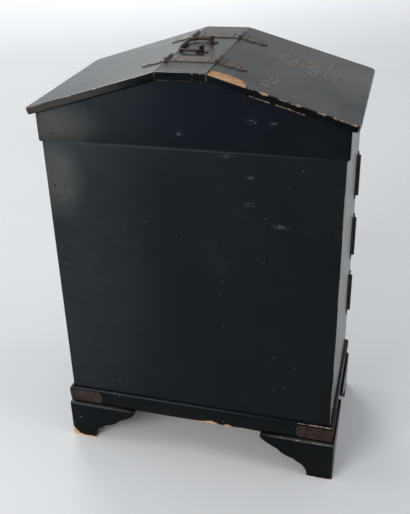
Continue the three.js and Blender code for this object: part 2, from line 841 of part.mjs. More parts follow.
function knob() {

	const ballMiddle = knobHeight - knobRadius * 0.8;
	const ball = arc( 0, 0, 1, - quarter * 0.7, quarter, 7 ).map( ( [ x, y ] ) =>
		[ x * knobRadius, ballMiddle + y * knobRadius * 0.8 ] );
	ball[ ball.length - 1 ][ 0 ] = 0;
	return turned( [
		[ 0, 0 ], [ knobRoseRadius, 0 ], [ knobRoseRadius, 0.7 ], [ knobRoseRadius * 0.75, 1.6 ],
		[ knobNeck * 1.2, 2 ], [ knobNeck, 4 ], ...ball,
	], 20 );

}

const doorGeometry = door();
const caseLeafGeometry = caseLeaf();
const doorLeafGeometry = doorLeaf();
const knobGeometry = knob();
const knobX = doorGap / 2 + doorBorder / 2;
const hingeHeights = Array.from( { length: hingesPerDoor }, ( _, i ) =>
	baseTop + openingHeight * ( i + 1 ) / ( hingesPerDoor + 1 ) );

for ( const { side, sign } of sides ) {

	const panel = sign > 0 ? doorGeometry : mirrored( doorGeometry );
	body.add( piece( `door_${ side }`, panel, lacquer,
		[ sign * halfWidth, doorBack, baseTop + doorGap ], facing.front ) );
	body.add( piece( `door_knob_${ side }`, knobGeometry, iron,
		[ sign * knobX, - halfDepth - fit, baseTop + openingHeight / 2 ], facing.front ) );

	// The barrels stand upright. On the left they are turned end for end, so the case leaf still points back.
	const upright = sign > 0 ? facing.right : [ quarter, - quarter, Math.PI ];
	hingeHeights.forEach( ( z, i ) => {

		const place = [ sign * ( halfWidth + hingeRise ), doorBack + fit / 2, z ];
		body.add( piece( `case_leaf_${ side }_${ i + 1 }`, caseLeafGeometry, iron, place, upright ) );
		body.add( piece( `door_leaf_${ side }_${ i + 1 }`, doorLeafGeometry, iron, place, upright ) );

	} );

}

export default cabinet;
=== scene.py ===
# %% [markdown]
# This notebook dresses a black lacquer cabinet that was built in CAD. The solids arrive finished in shape and
# size, so nothing here moves them. What is missing is the nail heads, the gilding, and what a hundred years
# leave: a film gone grey on its slopes, rubbed arrises, rust, and chips down to the wood.

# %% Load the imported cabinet
import json
import math

import bmesh
import bpy
from mathutils import Matrix, Vector, noise


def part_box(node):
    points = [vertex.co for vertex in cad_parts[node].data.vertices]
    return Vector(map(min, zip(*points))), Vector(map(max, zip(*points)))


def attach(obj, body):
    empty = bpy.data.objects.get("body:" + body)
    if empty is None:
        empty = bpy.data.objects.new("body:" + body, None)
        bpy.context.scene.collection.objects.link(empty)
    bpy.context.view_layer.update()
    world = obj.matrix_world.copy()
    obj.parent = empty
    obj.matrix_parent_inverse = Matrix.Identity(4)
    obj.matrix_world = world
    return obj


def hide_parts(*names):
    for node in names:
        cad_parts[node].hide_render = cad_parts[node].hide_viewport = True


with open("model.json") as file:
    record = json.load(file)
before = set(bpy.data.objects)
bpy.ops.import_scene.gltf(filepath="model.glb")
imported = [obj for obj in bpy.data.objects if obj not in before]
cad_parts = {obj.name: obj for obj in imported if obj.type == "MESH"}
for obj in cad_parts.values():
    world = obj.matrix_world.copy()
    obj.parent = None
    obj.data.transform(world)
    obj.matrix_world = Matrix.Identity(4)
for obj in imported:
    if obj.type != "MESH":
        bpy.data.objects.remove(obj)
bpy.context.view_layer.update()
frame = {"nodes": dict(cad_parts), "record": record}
nodes = frame["nodes"]
MM = 0.001

# %% [markdown]
# The camera stands where the photographer stood: behind the cabinet, a little to one side and looking down on
# it. A lens is easiest to match in pixels, so its focal length is given in pixels of the picture and turned
# into Blender's millimetres. The picture was cropped off centre, which is what the small shift is for.

# %% Camera
SENSOR = 36
PICTURE_HEIGHT = 514
FOCAL_LENGTH = 749.65
CROP_ACROSS = 26.8
CROP_DOWN = 24.2
EYE = (-0.226, 0.8445, 0.736)
TURN = math.radians(197.84)
LOOK_DOWN = math.radians(27.05)
ROLL = math.radians(-2.7)

camera_data = bpy.data.cameras.new("camera")
camera_data.sensor_width = SENSOR
camera_data.lens = SENSOR * FOCAL_LENGTH / PICTURE_HEIGHT
camera_data.shift_x = CROP_ACROSS / PICTURE_HEIGHT
camera_data.shift_y = -CROP_DOWN / PICTURE_HEIGHT
camera = bpy.data.objects.new("camera", camera_data)
upright = Matrix.Rotation(TURN, 3, "Z") @ Matrix.Rotation(math.pi / 2 - LOOK_DOWN, 3, "X")
camera.rotation_mode = "QUATERNION"
camera.rotation_quaternion = (upright @ Matrix.Rotation(ROLL, 3, "Z")).to_quaternion()
camera.location = EYE
bpy.context.scene.collection.objects.link(camera)
bpy.context.scene.camera = camera
print("lens", round(camera_data.lens, 2), "mm")

# %% [markdown]
# Every material below is a small network of nodes. A few helpers make a node and set its inputs, where an
# input is either a plain value or another node's output, so that a network reads like a list of steps.

# %% Helpers for nodes
def fill_inputs(tree, node, inputs):
    for name, value in inputs.items():
        if isinstance(value, bpy.types.NodeSocket):
            tree.links.new(value, node.inputs[name])
        else:
            node.inputs[name].default_value = value
    return node


def add(tree, kind, inputs=None, **settings):
    node = tree.nodes.new(kind)
    for name, value in settings.items():
        setattr(node, name, value)
    return fill_inputs(tree, node, inputs or {})


def object_place(tree):
    return add(tree, "ShaderNodeTexCoord").outputs["Object"]


print("node helpers ready")

# %% [markdown]
# Sums are nodes too, and a network needs many. Short names for them keep the networks below easy to read.

# %% Helpers for sums and mixes
def maths(tree, operation, first, second=0.0):
    return add(tree, "ShaderNodeMath", {0: first, 1: second}, operation=operation).outputs[0]


def plus(tree, first, second):
    return maths(tree, "ADD", first, second)


def minus(tree, first, second):
    return maths(tree, "SUBTRACT", first, second)


def times(tree, first, second):
    return maths(tree, "MULTIPLY", first, second)


def frequency(tree, size):
    return maths(tree, "DIVIDE", 1.0, size)


def vector_maths(tree, operation, first, second=(0, 0, 0)):
    return add(tree, "ShaderNodeVectorMath", {0: first, 1: second}, operation=operation).outputs


def eased(tree, value, low, high):
    sockets = {0: value, 1: low, 2: high}
    return add(tree, "ShaderNodeMapRange", sockets, interpolation_type="SMOOTHSTEP").outputs[0]


def mixed(tree, factor, first, second):
    return add(tree, "ShaderNodeMix", {0: factor, 6: first, 7: second}, data_type="RGBA").outputs[2]


def tinted(tree, colour, tint, mask, strength):
    return mixed(tree, times(tree, mask, strength), colour, tint)


def noisy(tree, scale, detail, place=None, **more):
    place = object_place(tree) if place is None else place
    inputs = {"Vector": place, "Scale": scale, "Detail": detail, **more}
    return add(tree, "ShaderNodeTexNoise", inputs).outputs[0]


def raised(tree, height, strength, distance):
    inputs = {"Height": height, "Strength": strength, "Distance": distance}
    return add(tree, "ShaderNodeBump", inputs).outputs[0]


print("helpers for sums ready")

# %% [markdown]
# An effect that several materials share is a node group. It is built once, with named inputs, and then placed
# in each material with that material's own values.

# %% Helpers for node groups and materials
def new_group(name, inputs, outputs):
    group = bpy.data.node_groups.new(name, "ShaderNodeTree")
    for socket, kind, value in inputs:
        made = group.interface.new_socket(name=socket, in_out="INPUT", socket_type="NodeSocket" + kind)
        made.default_value = value
    for socket in outputs:
        group.interface.new_socket(name=socket, in_out="OUTPUT", socket_type="NodeSocketFloat")
    return group, group.nodes.new("NodeGroupInput").outputs, group.nodes.new("NodeGroupOutput").inputs


def use(tree, group, inputs):
    node = tree.nodes.new("ShaderNodeGroup")
    node.node_tree = group
    return fill_inputs(tree, node, inputs).outputs


def new_material(name):
    material = bpy.data.materials.new(name)
    material.use_nodes = True
    tree = material.node_tree
    return material, tree, tree.nodes["Principled BSDF"]


print("group helpers ready")

# %% [markdown]
# Edge wear is the first shared effect. Lacquer rubs away first on the arrises, and a Bevel node knows where
# those are: it bends the normal within a set distance of an edge, so the angle between that normal and the
# true one is a mask of the edges. Noise makes the mask come and go, because no edge is worn evenly.

# %% Edge wear
edge_wear, given, gives = new_group(
    "edge wear",
    [("Width", "Float", 0.0015), ("Amount", "Float", 0.5), ("Patch Size", "Float", 0.01)],
    ["Mask"],
)
bent = add(edge_wear, "ShaderNodeBevel", {"Radius": given["Width"]}, samples=8).outputs[0]
straight = add(edge_wear, "ShaderNodeNewGeometry").outputs["True Normal"]
agreement = vector_maths(edge_wear, "DOT_PRODUCT", bent, straight)["Value"]
edge = eased(edge_wear, agreement, 0.985, 0.88)
patches = noisy(edge_wear, frequency(edge_wear, given["Patch Size"]), 6.0, Roughness=0.65)
threshold = minus(edge_wear, 0.74, times(edge_wear, given["Amount"], 0.42))
over = minus(edge_wear, times(edge_wear, edge, patches), threshold)
edge_wear.links.new(eased(edge_wear, over, 0.0, 0.05), gives["Mask"])


def rubbed_edges(tree, width, amount, patch_size):
    return use(tree, edge_wear, {"Width": width, "Amount": amount, "Patch Size": patch_size})["Mask"]


print("edge wear has", len(edge_wear.nodes), "nodes")

# %% [markdown]
# Smudges, dust and rust all lie in cloudy patches. They share one group: layered noise, cut at a level that
# says how much of the surface is covered, with a soft or a hard border. Stretching the coordinates turns the
# same clouds into wipe marks or streaks.

# %% Clouds
clouds, given, gives = new_group(
    "clouds",
    [("Size", "Float", 0.03), ("Cover", "Float", 0.5), ("Softness", "Float", 0.2),
     ("Stretch", "Vector", (1, 1, 1))],
    ["Mask"],
)
pulled = vector_maths(clouds, "MULTIPLY", object_place(clouds), given["Stretch"])["Vector"]
cloud = noisy(clouds, frequency(clouds, given["Size"]), 6.0, pulled, Roughness=0.6)
middle = minus(clouds, 0.72, times(clouds, given["Cover"], 0.44))
low = minus(clouds, middle, given["Softness"])
high = plus(clouds, middle, given["Softness"])
clouds.links.new(eased(clouds, cloud, low, high), gives["Mask"])


def cloudy(tree, size, cover, softness, stretch=(1, 1, 1)):
    inputs = {"Size": size, "Cover": cover, "Softness": softness, "Stretch": stretch}
    return use(tree, clouds, inputs)["Mask"]


print("clouds has", len(clouds.nodes), "nodes")

# %% [markdown]
# Some wear has a place of its own, such as a corner where hands took hold. This group fades from one in the
# middle of an egg-shaped region to nothing at its border.

# %% Worn place
worn_place, given, gives = new_group(
    "worn place",
    [("Middle", "Vector", (0, 0, 0)), ("Reach", "Vector", (1, 1, 1))],
    ["Mask"],
)
offset = vector_maths(worn_place, "SUBTRACT", object_place(worn_place), given["Middle"])["Vector"]
shares = vector_maths(worn_place, "DIVIDE", offset, given["Reach"])["Vector"]
distance = vector_maths(worn_place, "LENGTH", shares)["Value"]
worn_place.links.new(eased(worn_place, distance, 1.0, 0.25), gives["Mask"])


def near_place(tree, middle, reach):
    return use(tree, worn_place, {"Middle": middle, "Reach": reach})["Mask"]


print("worn place has", len(worn_place.nodes), "nodes")

# %% [markdown]
# Specks are the light dots that dust and old splashes leave. They are the centres of a Voronoi pattern, kept
# only where a random number of the cell allows it, and each with its own size.

# %% Specks
specks, given, gives = new_group(
    "specks",
    [("Spacing", "Float", 0.02), ("Share", "Float", 0.4), ("Size", "Float", 0.08)],
    ["Mask"],
)
lattice = {"Vector": object_place(specks), "Scale": frequency(specks, given["Spacing"])}
cells = add(specks, "ShaderNodeTexVoronoi", lattice).outputs
chance = add(specks, "ShaderNodeSeparateColor", {"Color": cells["Color"]}).outputs
reach = times(specks, given["Size"], plus(specks, chance[1], 0.3))
inside = eased(specks, maths(specks, "DIVIDE", cells["Distance"], reach), 1.0, 0.5)
kept = maths(specks, "LESS_THAN", chance[0], given["Share"])
specks.links.new(times(specks, inside, kept), gives["Mask"])
print("specks has", len(specks.nodes), "nodes")

# %% [markdown]
# Scratches are noise pulled out so far in one direction that only hairlines are left of it. A second, broad
# noise keeps them to a few places, because a scratch comes from one knock and not from age.

# %% Scratches
scratches, given, gives = new_group(
    "scratches",
    [("Length", "Float", 0.05), ("Angle", "Float", 0.6), ("Amount", "Float", 0.5)],
    ["Mask"],
)
place = object_place(scratches)
heading = {"Vector": place, "Angle": given["Angle"]}
turned = add(scratches, "ShaderNodeVectorRotate", heading, rotation_type="Y_AXIS").outputs[0]
drawn = vector_maths(scratches, "MULTIPLY", turned, (1, 14, 60))["Vector"]
hair = noisy(scratches, frequency(scratches, given["Length"]), 2.0, drawn)
off_line = maths(scratches, "ABSOLUTE", minus(scratches, hair, 0.5))
level = minus(scratches, 0.75, times(scratches, given["Amount"], 0.4))
here = eased(scratches, noisy(scratches, 22.0, 3.0, place), level, 0.8)
line = eased(scratches, off_line, 0.012, 0.0)
scratches.links.new(times(scratches, line, here), gives["Mask"])
print("scratches has", len(scratches.nodes), "nodes")

# %% [markdown]
# Wood shows in every deep chip. Its grain is noise stretched along the board, with fine dark pores in it. The
# group gives two masks, and the material chooses the colours.

# %% Wood grain
grain, given, gives = new_group(
    "grain",
    [("Spacing", "Float", 0.002), ("Along", "Vector", (0.06, 1, 1))],
    ["Grain", "Pores"],
)
pulled = vector_maths(grain, "MULTIPLY", object_place(grain), given["Along"])["Vector"]
fineness = frequency(grain, given["Spacing"])
rings = noisy(grain, fineness, 4.0, pulled, Distortion=0.4)
pores = noisy(grain, times(grain, fineness, 4.0), 2.0, pulled)
grain.links.new(eased(grain, rings, 0.3, 0.7), gives["Grain"])
grain.links.new(eased(grain, pores, 0.55, 0.68), gives["Pores"])
print("grain has", len(grain.nodes), "nodes")

# %% [markdown]
# The outside is black lacquer over wood. The film is glossy, so its look comes mostly from what it reflects,
# and its own colour is nearly black. Dust and smudges lie on it, some places have gone dull, others are
# scuffed or pitted. A few places get a paler tint of painted sheen, standing in for the room's light
# reflected there. Each of these is a mask that lays one more colour over the last.

# %% Colours of old lacquer
DEEP_BLACK = (0.0006, 0.0010, 0.0014, 1)
WIPED_BLACK = (0.0016, 0.0021, 0.0027, 1)
DUST = (0.095, 0.089, 0.076, 1)
SPECK = (0.30, 0.30, 0.28, 1)
SCRATCH = (0.20, 0.21, 0.21, 1)
CRUMB = (0.048, 0.050, 0.050, 1)
PIT = (0.006, 0.005, 0.003, 1)


def lacquer_masks(tree):
    long_marks = use(tree, scratches, {"Length": 0.06, "Angle": 0.7, "Amount": 0.5})["Mask"]
    short_marks = use(tree, scratches, {"Length": 0.035, "Angle": 2.2, "Amount": 0.4})["Mask"]
    return {
        "smudge": cloudy(tree, 0.09, 0.5, 0.22, (1, 1, 0.6)),
        "film": cloudy(tree, 0.016, 0.42, 0.16),
        "crumbs": cloudy(tree, 0.0035, 0.42, 0.05, (1, 1, 1.8)),
        "dots": use(tree, specks, {"Spacing": 0.013, "Share": 0.25, "Size": 0.06})["Mask"],
        "marks": maths(tree, "MAXIMUM", long_marks, short_marks),
    }


def lacquer_colour(tree, masks, dust, dull_and_sheen_places, scuffs, pits):
    colour = mixed(tree, masks["smudge"], DEEP_BLACK, WIPED_BLACK)
    lies = plus(tree, times(tree, masks["film"], 0.1), times(tree, masks["smudge"], 0.9))
    colour = tinted(tree, colour, DUST, lies, dust)
    # Each place lays a tint of its own. On the case, the upper band, the rakes and the feet most of these are
    # painted sheen and painted highlight; on the roof the tint is dust.
    for middle, reach, strength, tint in dull_and_sheen_places:
        broken = plus(tree, times(tree, masks["film"], 0.25), 0.75)
        haze_and_sheen = times(tree, near_place(tree, middle, reach), broken)
        colour = tinted(tree, colour, tint, haze_and_sheen, strength)
    colour = tinted(tree, colour, SPECK, masks["dots"], 0.35)
    colour = tinted(tree, colour, SCRATCH, masks["marks"], 0.16)
    for middle, reach in scuffs:
        colour = tinted(tree, colour, CRUMB, near_place(tree, middle, reach), masks["crumbs"])
    for middle, reach in pits:
        colour = tinted(tree, colour, PIT, near_place(tree, middle, reach), 0.8)
    return colour


print("lacquer has its colours")

# %% [markdown]
# The arrises are rubbed in two steps: a wide brown line where the film is thin, and a narrow pale one where
# it is gone. Roughness rises where the surface is smudged, scratched or bare, and a slow waviness in the
# normal bends the reflections a little, as on a board that was lacquered by hand.

# %% Black lacquer
RUBBED_BROWN = (0.040, 0.028, 0.022, 1)
RUBBED_BARE = (0.30, 0.22, 0.16, 1)
COOL_GLOSS = (0.72, 0.89, 1.0, 1)


def lacquer_material(name, ior, wear, dust, dull_and_sheen_places=(), rubbed_places=(), pits=(), scuffs=()):
    material, tree, shader = new_material(name)
    masks = lacquer_masks(tree)
    amount = wear
    for middle, reach, strength in rubbed_places:
        amount = plus(tree, times(tree, near_place(tree, middle, reach), strength), amount)
    brown = rubbed_edges(tree, 0.0018, amount, 0.02)
    bare = rubbed_edges(tree, 0.0008, amount, 0.006)
    colour = lacquer_colour(tree, masks, dust, dull_and_sheen_places, scuffs, pits)
    colour = tinted(tree, colour, RUBBED_BROWN, brown, 0.5)
    colour = tinted(tree, colour, RUBBED_BARE, bare, 0.7)

    rough = plus(tree, 0.19, times(tree, masks["smudge"], 0.06))
    rough = plus(tree, rough, times(tree, masks["film"], 0.03))
    rough = plus(tree, rough, times(tree, masks["marks"], 0.2))
    rough = maths(tree, "MAXIMUM", rough, times(tree, bare, 0.75))
    relief = minus(tree, noisy(tree, 16.0, 2.0), times(tree, masks["marks"], 0.03))
    relief = minus(tree, relief, times(tree, bare, 0.12))
    fill_inputs(tree, shader, {
        "Base Color": colour, "Roughness": rough, "Normal": raised(tree, relief, 0.06, 0.0016),
        "IOR": ior, "Specular Tint": COOL_GLOSS,
    })
    return material


print("lacquer is ready to mix")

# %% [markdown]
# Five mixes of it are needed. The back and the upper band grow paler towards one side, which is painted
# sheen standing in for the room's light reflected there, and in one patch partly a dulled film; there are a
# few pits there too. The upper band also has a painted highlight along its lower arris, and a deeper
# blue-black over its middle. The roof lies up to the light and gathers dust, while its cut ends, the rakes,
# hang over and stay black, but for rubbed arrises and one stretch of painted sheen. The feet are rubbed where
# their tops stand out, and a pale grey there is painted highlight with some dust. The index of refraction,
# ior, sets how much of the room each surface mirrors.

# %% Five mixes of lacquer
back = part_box("back_panel")[1].y
band = back + 3 * MM
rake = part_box("ridge_board")[1].y
# The warm and cool tints are painted sheen, colour that stands in for the room's light reflected in the
# gloss; in one patch on the back the warm one is partly a dulled film. The pale grey is painted highlight
# with some dust.
WARM_HAZE_AND_SHEEN = (0.095, 0.090, 0.080, 1)
COOL_SHEEN = (0.070, 0.084, 0.092, 1)
DEEP_BLUE = (0.0010, 0.0022, 0.0065, 1)
PALE_DUST = (0.19, 0.17, 0.14, 1)
GREY_DUST_AND_HIGHLIGHT = (0.15, 0.155, 0.16, 1)


def spot(face, x, z, wide, deep, high, *rest):
    """A place on an upright face: across and up in millimetres, then how far it reaches each way."""
    return (x * MM, face, z * MM), (wide * MM, deep * MM, high * MM), *rest


case_lacquer = lacquer_material(
    "black lacquer of the case", ior=1.27, wear=0.12, dust=0.012,
    dull_and_sheen_places=[
        # Painted sheen: a faint cool tint over one end of the back and a warmer patch near its top corner
        # stand in for the room's light reflected there. The warm patch is partly a dulled film.
        spot(back, 175, 300, 150, 40, 360, 0.17, COOL_SHEEN),
        spot(back, 160, 395, 40, 30, 62, 0.50, WARM_HAZE_AND_SHEEN),
    ],
    rubbed_places=[spot(back, -175, 300, 8, 10, 120, 0.3)],
    pits=[
        spot(back, 164.7, 385.2, 2.6, 4, 2.0), spot(back, 151.0, 385.0, 2.4, 4, 1.8),
        spot(back, 161.9, 371.0, 4.6, 4, 1.4),
    ],
    scuffs=[
        spot(back, -74, 413.5, 10, 4, 3), spot(back, -71, 380.6, 11, 4, 4), spot(back, -108, 356.6, 14, 4, 4),
        spot(back, 164, 276.7, 7, 4, 3), spot(back, -44, 437.0, 12, 4, 3),
    ],
)
gable_lacquer = lacquer_material(
    "black lacquer of the upper band", ior=1.2, wear=0.12, dust=0.012,
    dull_and_sheen_places=[
        # Painted sheen at one end of the upper band and a painted highlight along its lower arris. The third
        # place lays a deeper blue-black over its middle.
        spot(back, 172, 465, 95, 30, 36, 0.5, WARM_HAZE_AND_SHEEN), spot(band, 30, 440.6, 250, 20, 4.2, 0.5, COOL_SHEEN),
        spot(back, -20, 485, 160, 30, 60, 0.9, DEEP_BLUE),
    ],
    pits=[spot(band, 160.6, 452.1, 7.0, 4, 1.4)],
    scuffs=[
        spot(band, 6, 461.4, 6, 4, 5), spot(band, -73, 479.0, 9, 4, 5), spot(band, -97, 478.6, 7, 4, 5),
        spot(band, 148, 458.7, 8, 4, 5),
    ],
)
roof_lacquer = lacquer_material(
    "black lacquer of the roof", ior=1.5, wear=0.24, dust=0.62,
    dull_and_sheen_places=[spot(rake, 40, 535, 170, 26, 60, 0.32, PALE_DUST)],
    rubbed_places=[spot(rake, -120, 495, 12, 6, 6, 0.6)],
)
rake_lacquer = lacquer_material(
    "black lacquer of the rakes", ior=1.13, wear=0.62, dust=0.012,
    # Painted sheen: a warm pale stretch on one rake stands in for a glancing highlight there.
    dull_and_sheen_places=[spot(rake, 125, 478, 130, 30, 60, 0.46, WARM_HAZE_AND_SHEEN)],
)
base_lacquer = lacquer_material(
    "black lacquer of the base", ior=1.2, wear=0.24, dust=0.02,
    # Painted highlight: a pale grey with some dust along the tops of the feet, where they stand out under the
    # moulding and would catch the light.
    dull_and_sheen_places=[spot(back + 5.5 * MM, x, 57.2, 75, 6, 2.2, 0.45, GREY_DUST_AND_HIGHLIGHT) for x in (-145, 145)],
    rubbed_places=[spot(back + 6 * MM, x, 57, 50, 10, 4, 0.3) for x in (-140, 140)],
)
mixes = (case_lacquer, gable_lacquer, roof_lacquer, rake_lacquer, base_lacquer)
print("mixed:", ", ".join(material.name for material in mixes))

# %% [markdown]
# The inside was only brushed with thin lacquer, so the wood's brown shows through and the surface is dull.

# %% Thin brown lacquer inside
inner_lacquer, tree, shader = new_material("thin brown lacquer")
wood = use(tree, grain, {"Spacing": 0.004, "Along": (0.05, 1, 1)})
dust = cloudy(tree, 0.05, 0.45, 0.25)
colour = mixed(tree, wood["Grain"], (0.030, 0.014, 0.009, 1), (0.055, 0.027, 0.016, 1))
fill_inputs(tree, shader, {
    "Base Color": tinted(tree, colour, (0.25, 0.22, 0.19, 1), dust, 0.12),
    "Roughness": plus(tree, 0.42, times(tree, dust, 0.2)),
    "Normal": raised(tree, wood["Grain"], 0.2, 0.0004),
})
print(inner_lacquer.name, "ready")

# %% [markdown]
# Bare wood is what a deep chip uncovers: a pale orange softwood, darker in its pores and brown where dirt has
# settled.

# %% Bare wood
bare_wood, tree, shader = new_material("bare wood")
wood = use(tree, grain, {"Spacing": 0.0028, "Along": (0.07, 1, 1)})
dirt = cloudy(tree, 0.010, 0.3, 0.12)
colour = mixed(tree, wood["Grain"], (0.44, 0.24, 0.105, 1), (0.62, 0.385, 0.20, 1))
colour = tinted(tree, colour, (0.24, 0.11, 0.05, 1), wood["Pores"], 0.4)
fill_inputs(tree, shader, {
    "Base Color": tinted(tree, colour, (0.24, 0.13, 0.07, 1), dirt, 0.3),
    "Roughness": 0.75,
    "Normal": raised(tree, wood["Grain"], 0.5, 0.0005),
})
print(bare_wood.name, "ready")

# %% [markdown]
# Between wood and lacquer lies the ground, a putty of clay. Where only the film has splintered off an arris,
# it is the ground that shows, as a thin pale line.

# %% Lacquer ground
ground, tree, shader = new_material("lacquer ground")
dirt = cloudy(tree, 0.004, 0.45, 0.12)
fill_inputs(tree, shader, {
    "Base Color": mixed(tree, dirt, (0.40, 0.30, 0.22, 1), (0.14, 0.075, 0.045, 1)),
    "Roughness": 0.85,
})
print(ground.name, "ready")

# %% [markdown]
# The handle, the knobs and the nails are iron with an old brown skin. The hinges' plates were lacquered over,
# and the lacquer still covers most of them, while dust has settled on those of the roof. The corner mounts
# are thin copper gone the colour of chocolate. One function makes all four metals: an old surface is a mix of
# a dark skin and rust, with brighter metal on its edges.

# %% Old metals
def metal_material(name, bright, skin, rust, cover, gloss, metal, ior=1.5):
    material, tree, shader = new_material(name)
    patches = cloudy(tree, 0.006, cover, 0.12)
    grit = cloudy(tree, 0.0016, 0.5, 0.2)
    rubbed = rubbed_edges(tree, 0.0005, 0.6, 0.006)
    colour = mixed(tree, patches, skin, rust)
    colour = tinted(tree, colour, skin, grit, 0.35)
    rough = plus(tree, gloss, times(tree, patches, 0.28))
    relief = plus(tree, times(tree, patches, 0.6), times(tree, grit, 0.4))
    fill_inputs(tree, shader, {
        "Base Color": tinted(tree, colour, bright, rubbed, 0.6),
        "Metallic": minus(tree, metal, times(tree, patches, metal * 0.7)),
        "Roughness": minus(tree, rough, times(tree, rubbed, 0.1)),
        "Normal": raised(tree, relief, 0.35, 0.0002),
        "IOR": ior,
    })
    return material


iron = metal_material(
    "old iron", bright=(0.17, 0.13, 0.115, 1), skin=(0.033, 0.020, 0.018, 1), rust=(0.058, 0.027, 0.019, 1),
    cover=0.42, gloss=0.30, metal=0.8)
plate_iron = metal_material(
    "lacquered iron plate", bright=(0.26, 0.23, 0.21, 1), skin=(0.016, 0.013, 0.011, 1),
    rust=(0.040, 0.022, 0.015, 1), cover=0.42, gloss=0.34, metal=0.12, ior=1.35)
roof_plate = metal_material(
    "dusty iron plate", bright=(0.24, 0.18, 0.145, 1), skin=(0.074, 0.065, 0.055, 1),
    rust=(0.105, 0.064, 0.052, 1), cover=0.42, gloss=0.34, metal=0.15)
copper = metal_material(
    "old copper", bright=(0.10, 0.050, 0.032, 1), skin=(0.037, 0.017, 0.012, 1),
    rust=(0.007, 0.005, 0.005, 1), cover=0.55, gloss=0.40, metal=0.3, ior=1.35)
print("metals:", ", ".join(metal.name for metal in (iron, plate_iron, roof_plate, copper)))

# %% [markdown]
# The roof once carried sprigs in gold dust. Little of it is left: most has gone back to the colour of the
# dusty lacquer, and the rest is a dull brown, so the material hides about half of every leaf.

# %% Worn gilding
gilding, tree, shader = new_material("worn gilding")
left = cloudy(tree, 0.005, 0.5, 0.08)
fill_inputs(tree, shader, {
    "Base Color": mixed(tree, left, (0.050, 0.047, 0.041, 1), (0.20, 0.150, 0.110, 1)),
    "Roughness": plus(tree, 0.23, times(tree, left, 0.05)),
    "Specular Tint": COOL_GLOSS,
})
print(gilding.name, "ready")

# %% [markdown]
# The floor is one pale sheet that curves up far behind the cabinet, as in a photographer's studio. A side
# line of a few points, drawn out across the room, makes it in one piece and without a corner.

# %% Floor and backdrop
FLOOR_REACH = 6.0
WALL_HEIGHT = 1.6
CURVE_RADIUS = 1.2
CURVE_STEPS = 12

paper, tree, shader = new_material("pale paper")
mottle = cloudy(tree, 0.6, 0.5, 0.25)
fill_inputs(tree, shader, {
    "Base Color": mixed(tree, mottle, (0.80, 0.81, 0.82, 1), (0.82, 0.83, 0.84, 1)), "Roughness": 0.8,
})

bend_start = CURVE_RADIUS - FLOOR_REACH
side_line = [(FLOOR_REACH, 0.0)]
for step in range(CURVE_STEPS + 1):
    angle = math.pi / 2 * step / CURVE_STEPS
    side_line.append((bend_start - CURVE_RADIUS * math.sin(angle), CURVE_RADIUS * (1 - math.cos(angle))))
side_line.append((-FLOOR_REACH, WALL_HEIGHT))
sheet = bmesh.new()
rows = [[sheet.verts.new((x, y, z)) for x in (-FLOOR_REACH, FLOOR_REACH)] for y, z in side_line]
for lower, upper in zip(rows, rows[1:]):
    sheet.faces.new((lower[0], upper[0], upper[1], lower[1]))
floor_mesh = bpy.data.meshes.new("floor")
sheet.to_mesh(floor_mesh)
sheet.free()
floor_mesh.materials.append(paper)
floor_mesh.shade_smooth()
floor = bpy.data.objects.new("floor", floor_mesh)
bpy.context.scene.collection.objects.link(floor)
print("floor with", len(floor_mesh.polygons), "faces")

# %% [markdown]
# Black lacquer shows its surroundings more than itself, so the lights are large and soft. A far window makes
# the roof's slopes grey, and two near ones and a weak overhead light fill the floor. A small low card
# brightens one end of the back, and a wash lights the backdrop. The rest is dim, which keeps the back black.

# %% Lights
def soft_light(name, place, target, width, height, power):
    data = bpy.data.lights.new(name, "AREA")
    data.shape = "RECTANGLE"
    data.size = width
    data.size_y = height
    data.energy = power
    light = bpy.data.objects.new(name, data)
    light.location = place
    light.rotation_mode = "QUATERNION"
    light.rotation_quaternion = (Vector(target) - Vector(place)).to_track_quat("-Z", "Y")
    light.visible_camera = False
    bpy.context.scene.collection.objects.link(light)
    return light


FEET = (0, 0, 0)
# The end of the back that the low card lights; painted sheen lies on it as well.
BRIGHT_END = (0.15, 0.1, 0.40)
BACKDROP = (1.0, -6.0, 0.7)
lights = [
    soft_light("far_window", (2.4, -3.5, 2.8), FEET, 2.0, 2.0, 60),
    soft_light("overhead", (2.5, 0, 2.8), FEET, 2.0, 2.0, 20),
    soft_light("near_window", (1.2, 2.6, 1.5), FEET, 1.4, 1.4, 45),
    soft_light("side_window", (-2.4, 0.2, 1.6), FEET, 1.4, 1.4, 18),
    soft_light("low_card", (0.86, 1.30, 0.16), BRIGHT_END, 0.7, 0.35, 2.6),
    soft_light("backdrop_wash", (0.8, -3.4, 2.4), BACKDROP, 2.0, 1.0, 42),
]
world = bpy.data.worlds.new("studio")
world.use_nodes = True
sky = world.node_tree.nodes["Background"].inputs
sky["Color"].default_value = (0.93, 0.965, 1.0, 1)
sky["Strength"].default_value = 0.42
bpy.context.scene.world = world
bpy.context.scene.view_settings.view_transform = "Standard"
print(len(lights), "lights")

# %% [markdown]
# Each node of the frame knows its material slot, but a slot is coarser than the finishes here. The name of
# the node decides the rest: roof, upper band, base and case each have their own mix of lacquer.

# %% A finish for every node
bodies = frame["record"]["behaviour"]["bodies"]
body_of_node = {name: body for body, names in bodies.items() for name in names}
slot_of_node = {part["node"]: part["material_slot"] for part in frame["record"]["subparts"]}
ROOF_NODES = ("roof_flap_left", "roof_flap_right", "ridge_board")


def finish_of(name):
    slot = slot_of_node[name]
    if name.startswith(("ridge_strap", "flap_leaf")):
        return roof_plate
    if "leaf" in name:
        return plate_iron
    if slot != "lacquer":
        return {"inner_lacquer": inner_lacquer, "iron": iron, "copper": copper}[slot]
    if name in ROOF_NODES:
        return roof_lacquer
    if name.startswith(("gable_board", "band_board")):
        return gable_lacquer
    return base_lacquer if name.startswith(("base_moulding", "bracket_foot")) else case_lacquer


for name, node in nodes.items():
    node.data.materials.clear()
    node.data.materials.append(finish_of(name))
print(len(slot_of_node), "nodes have their finish")

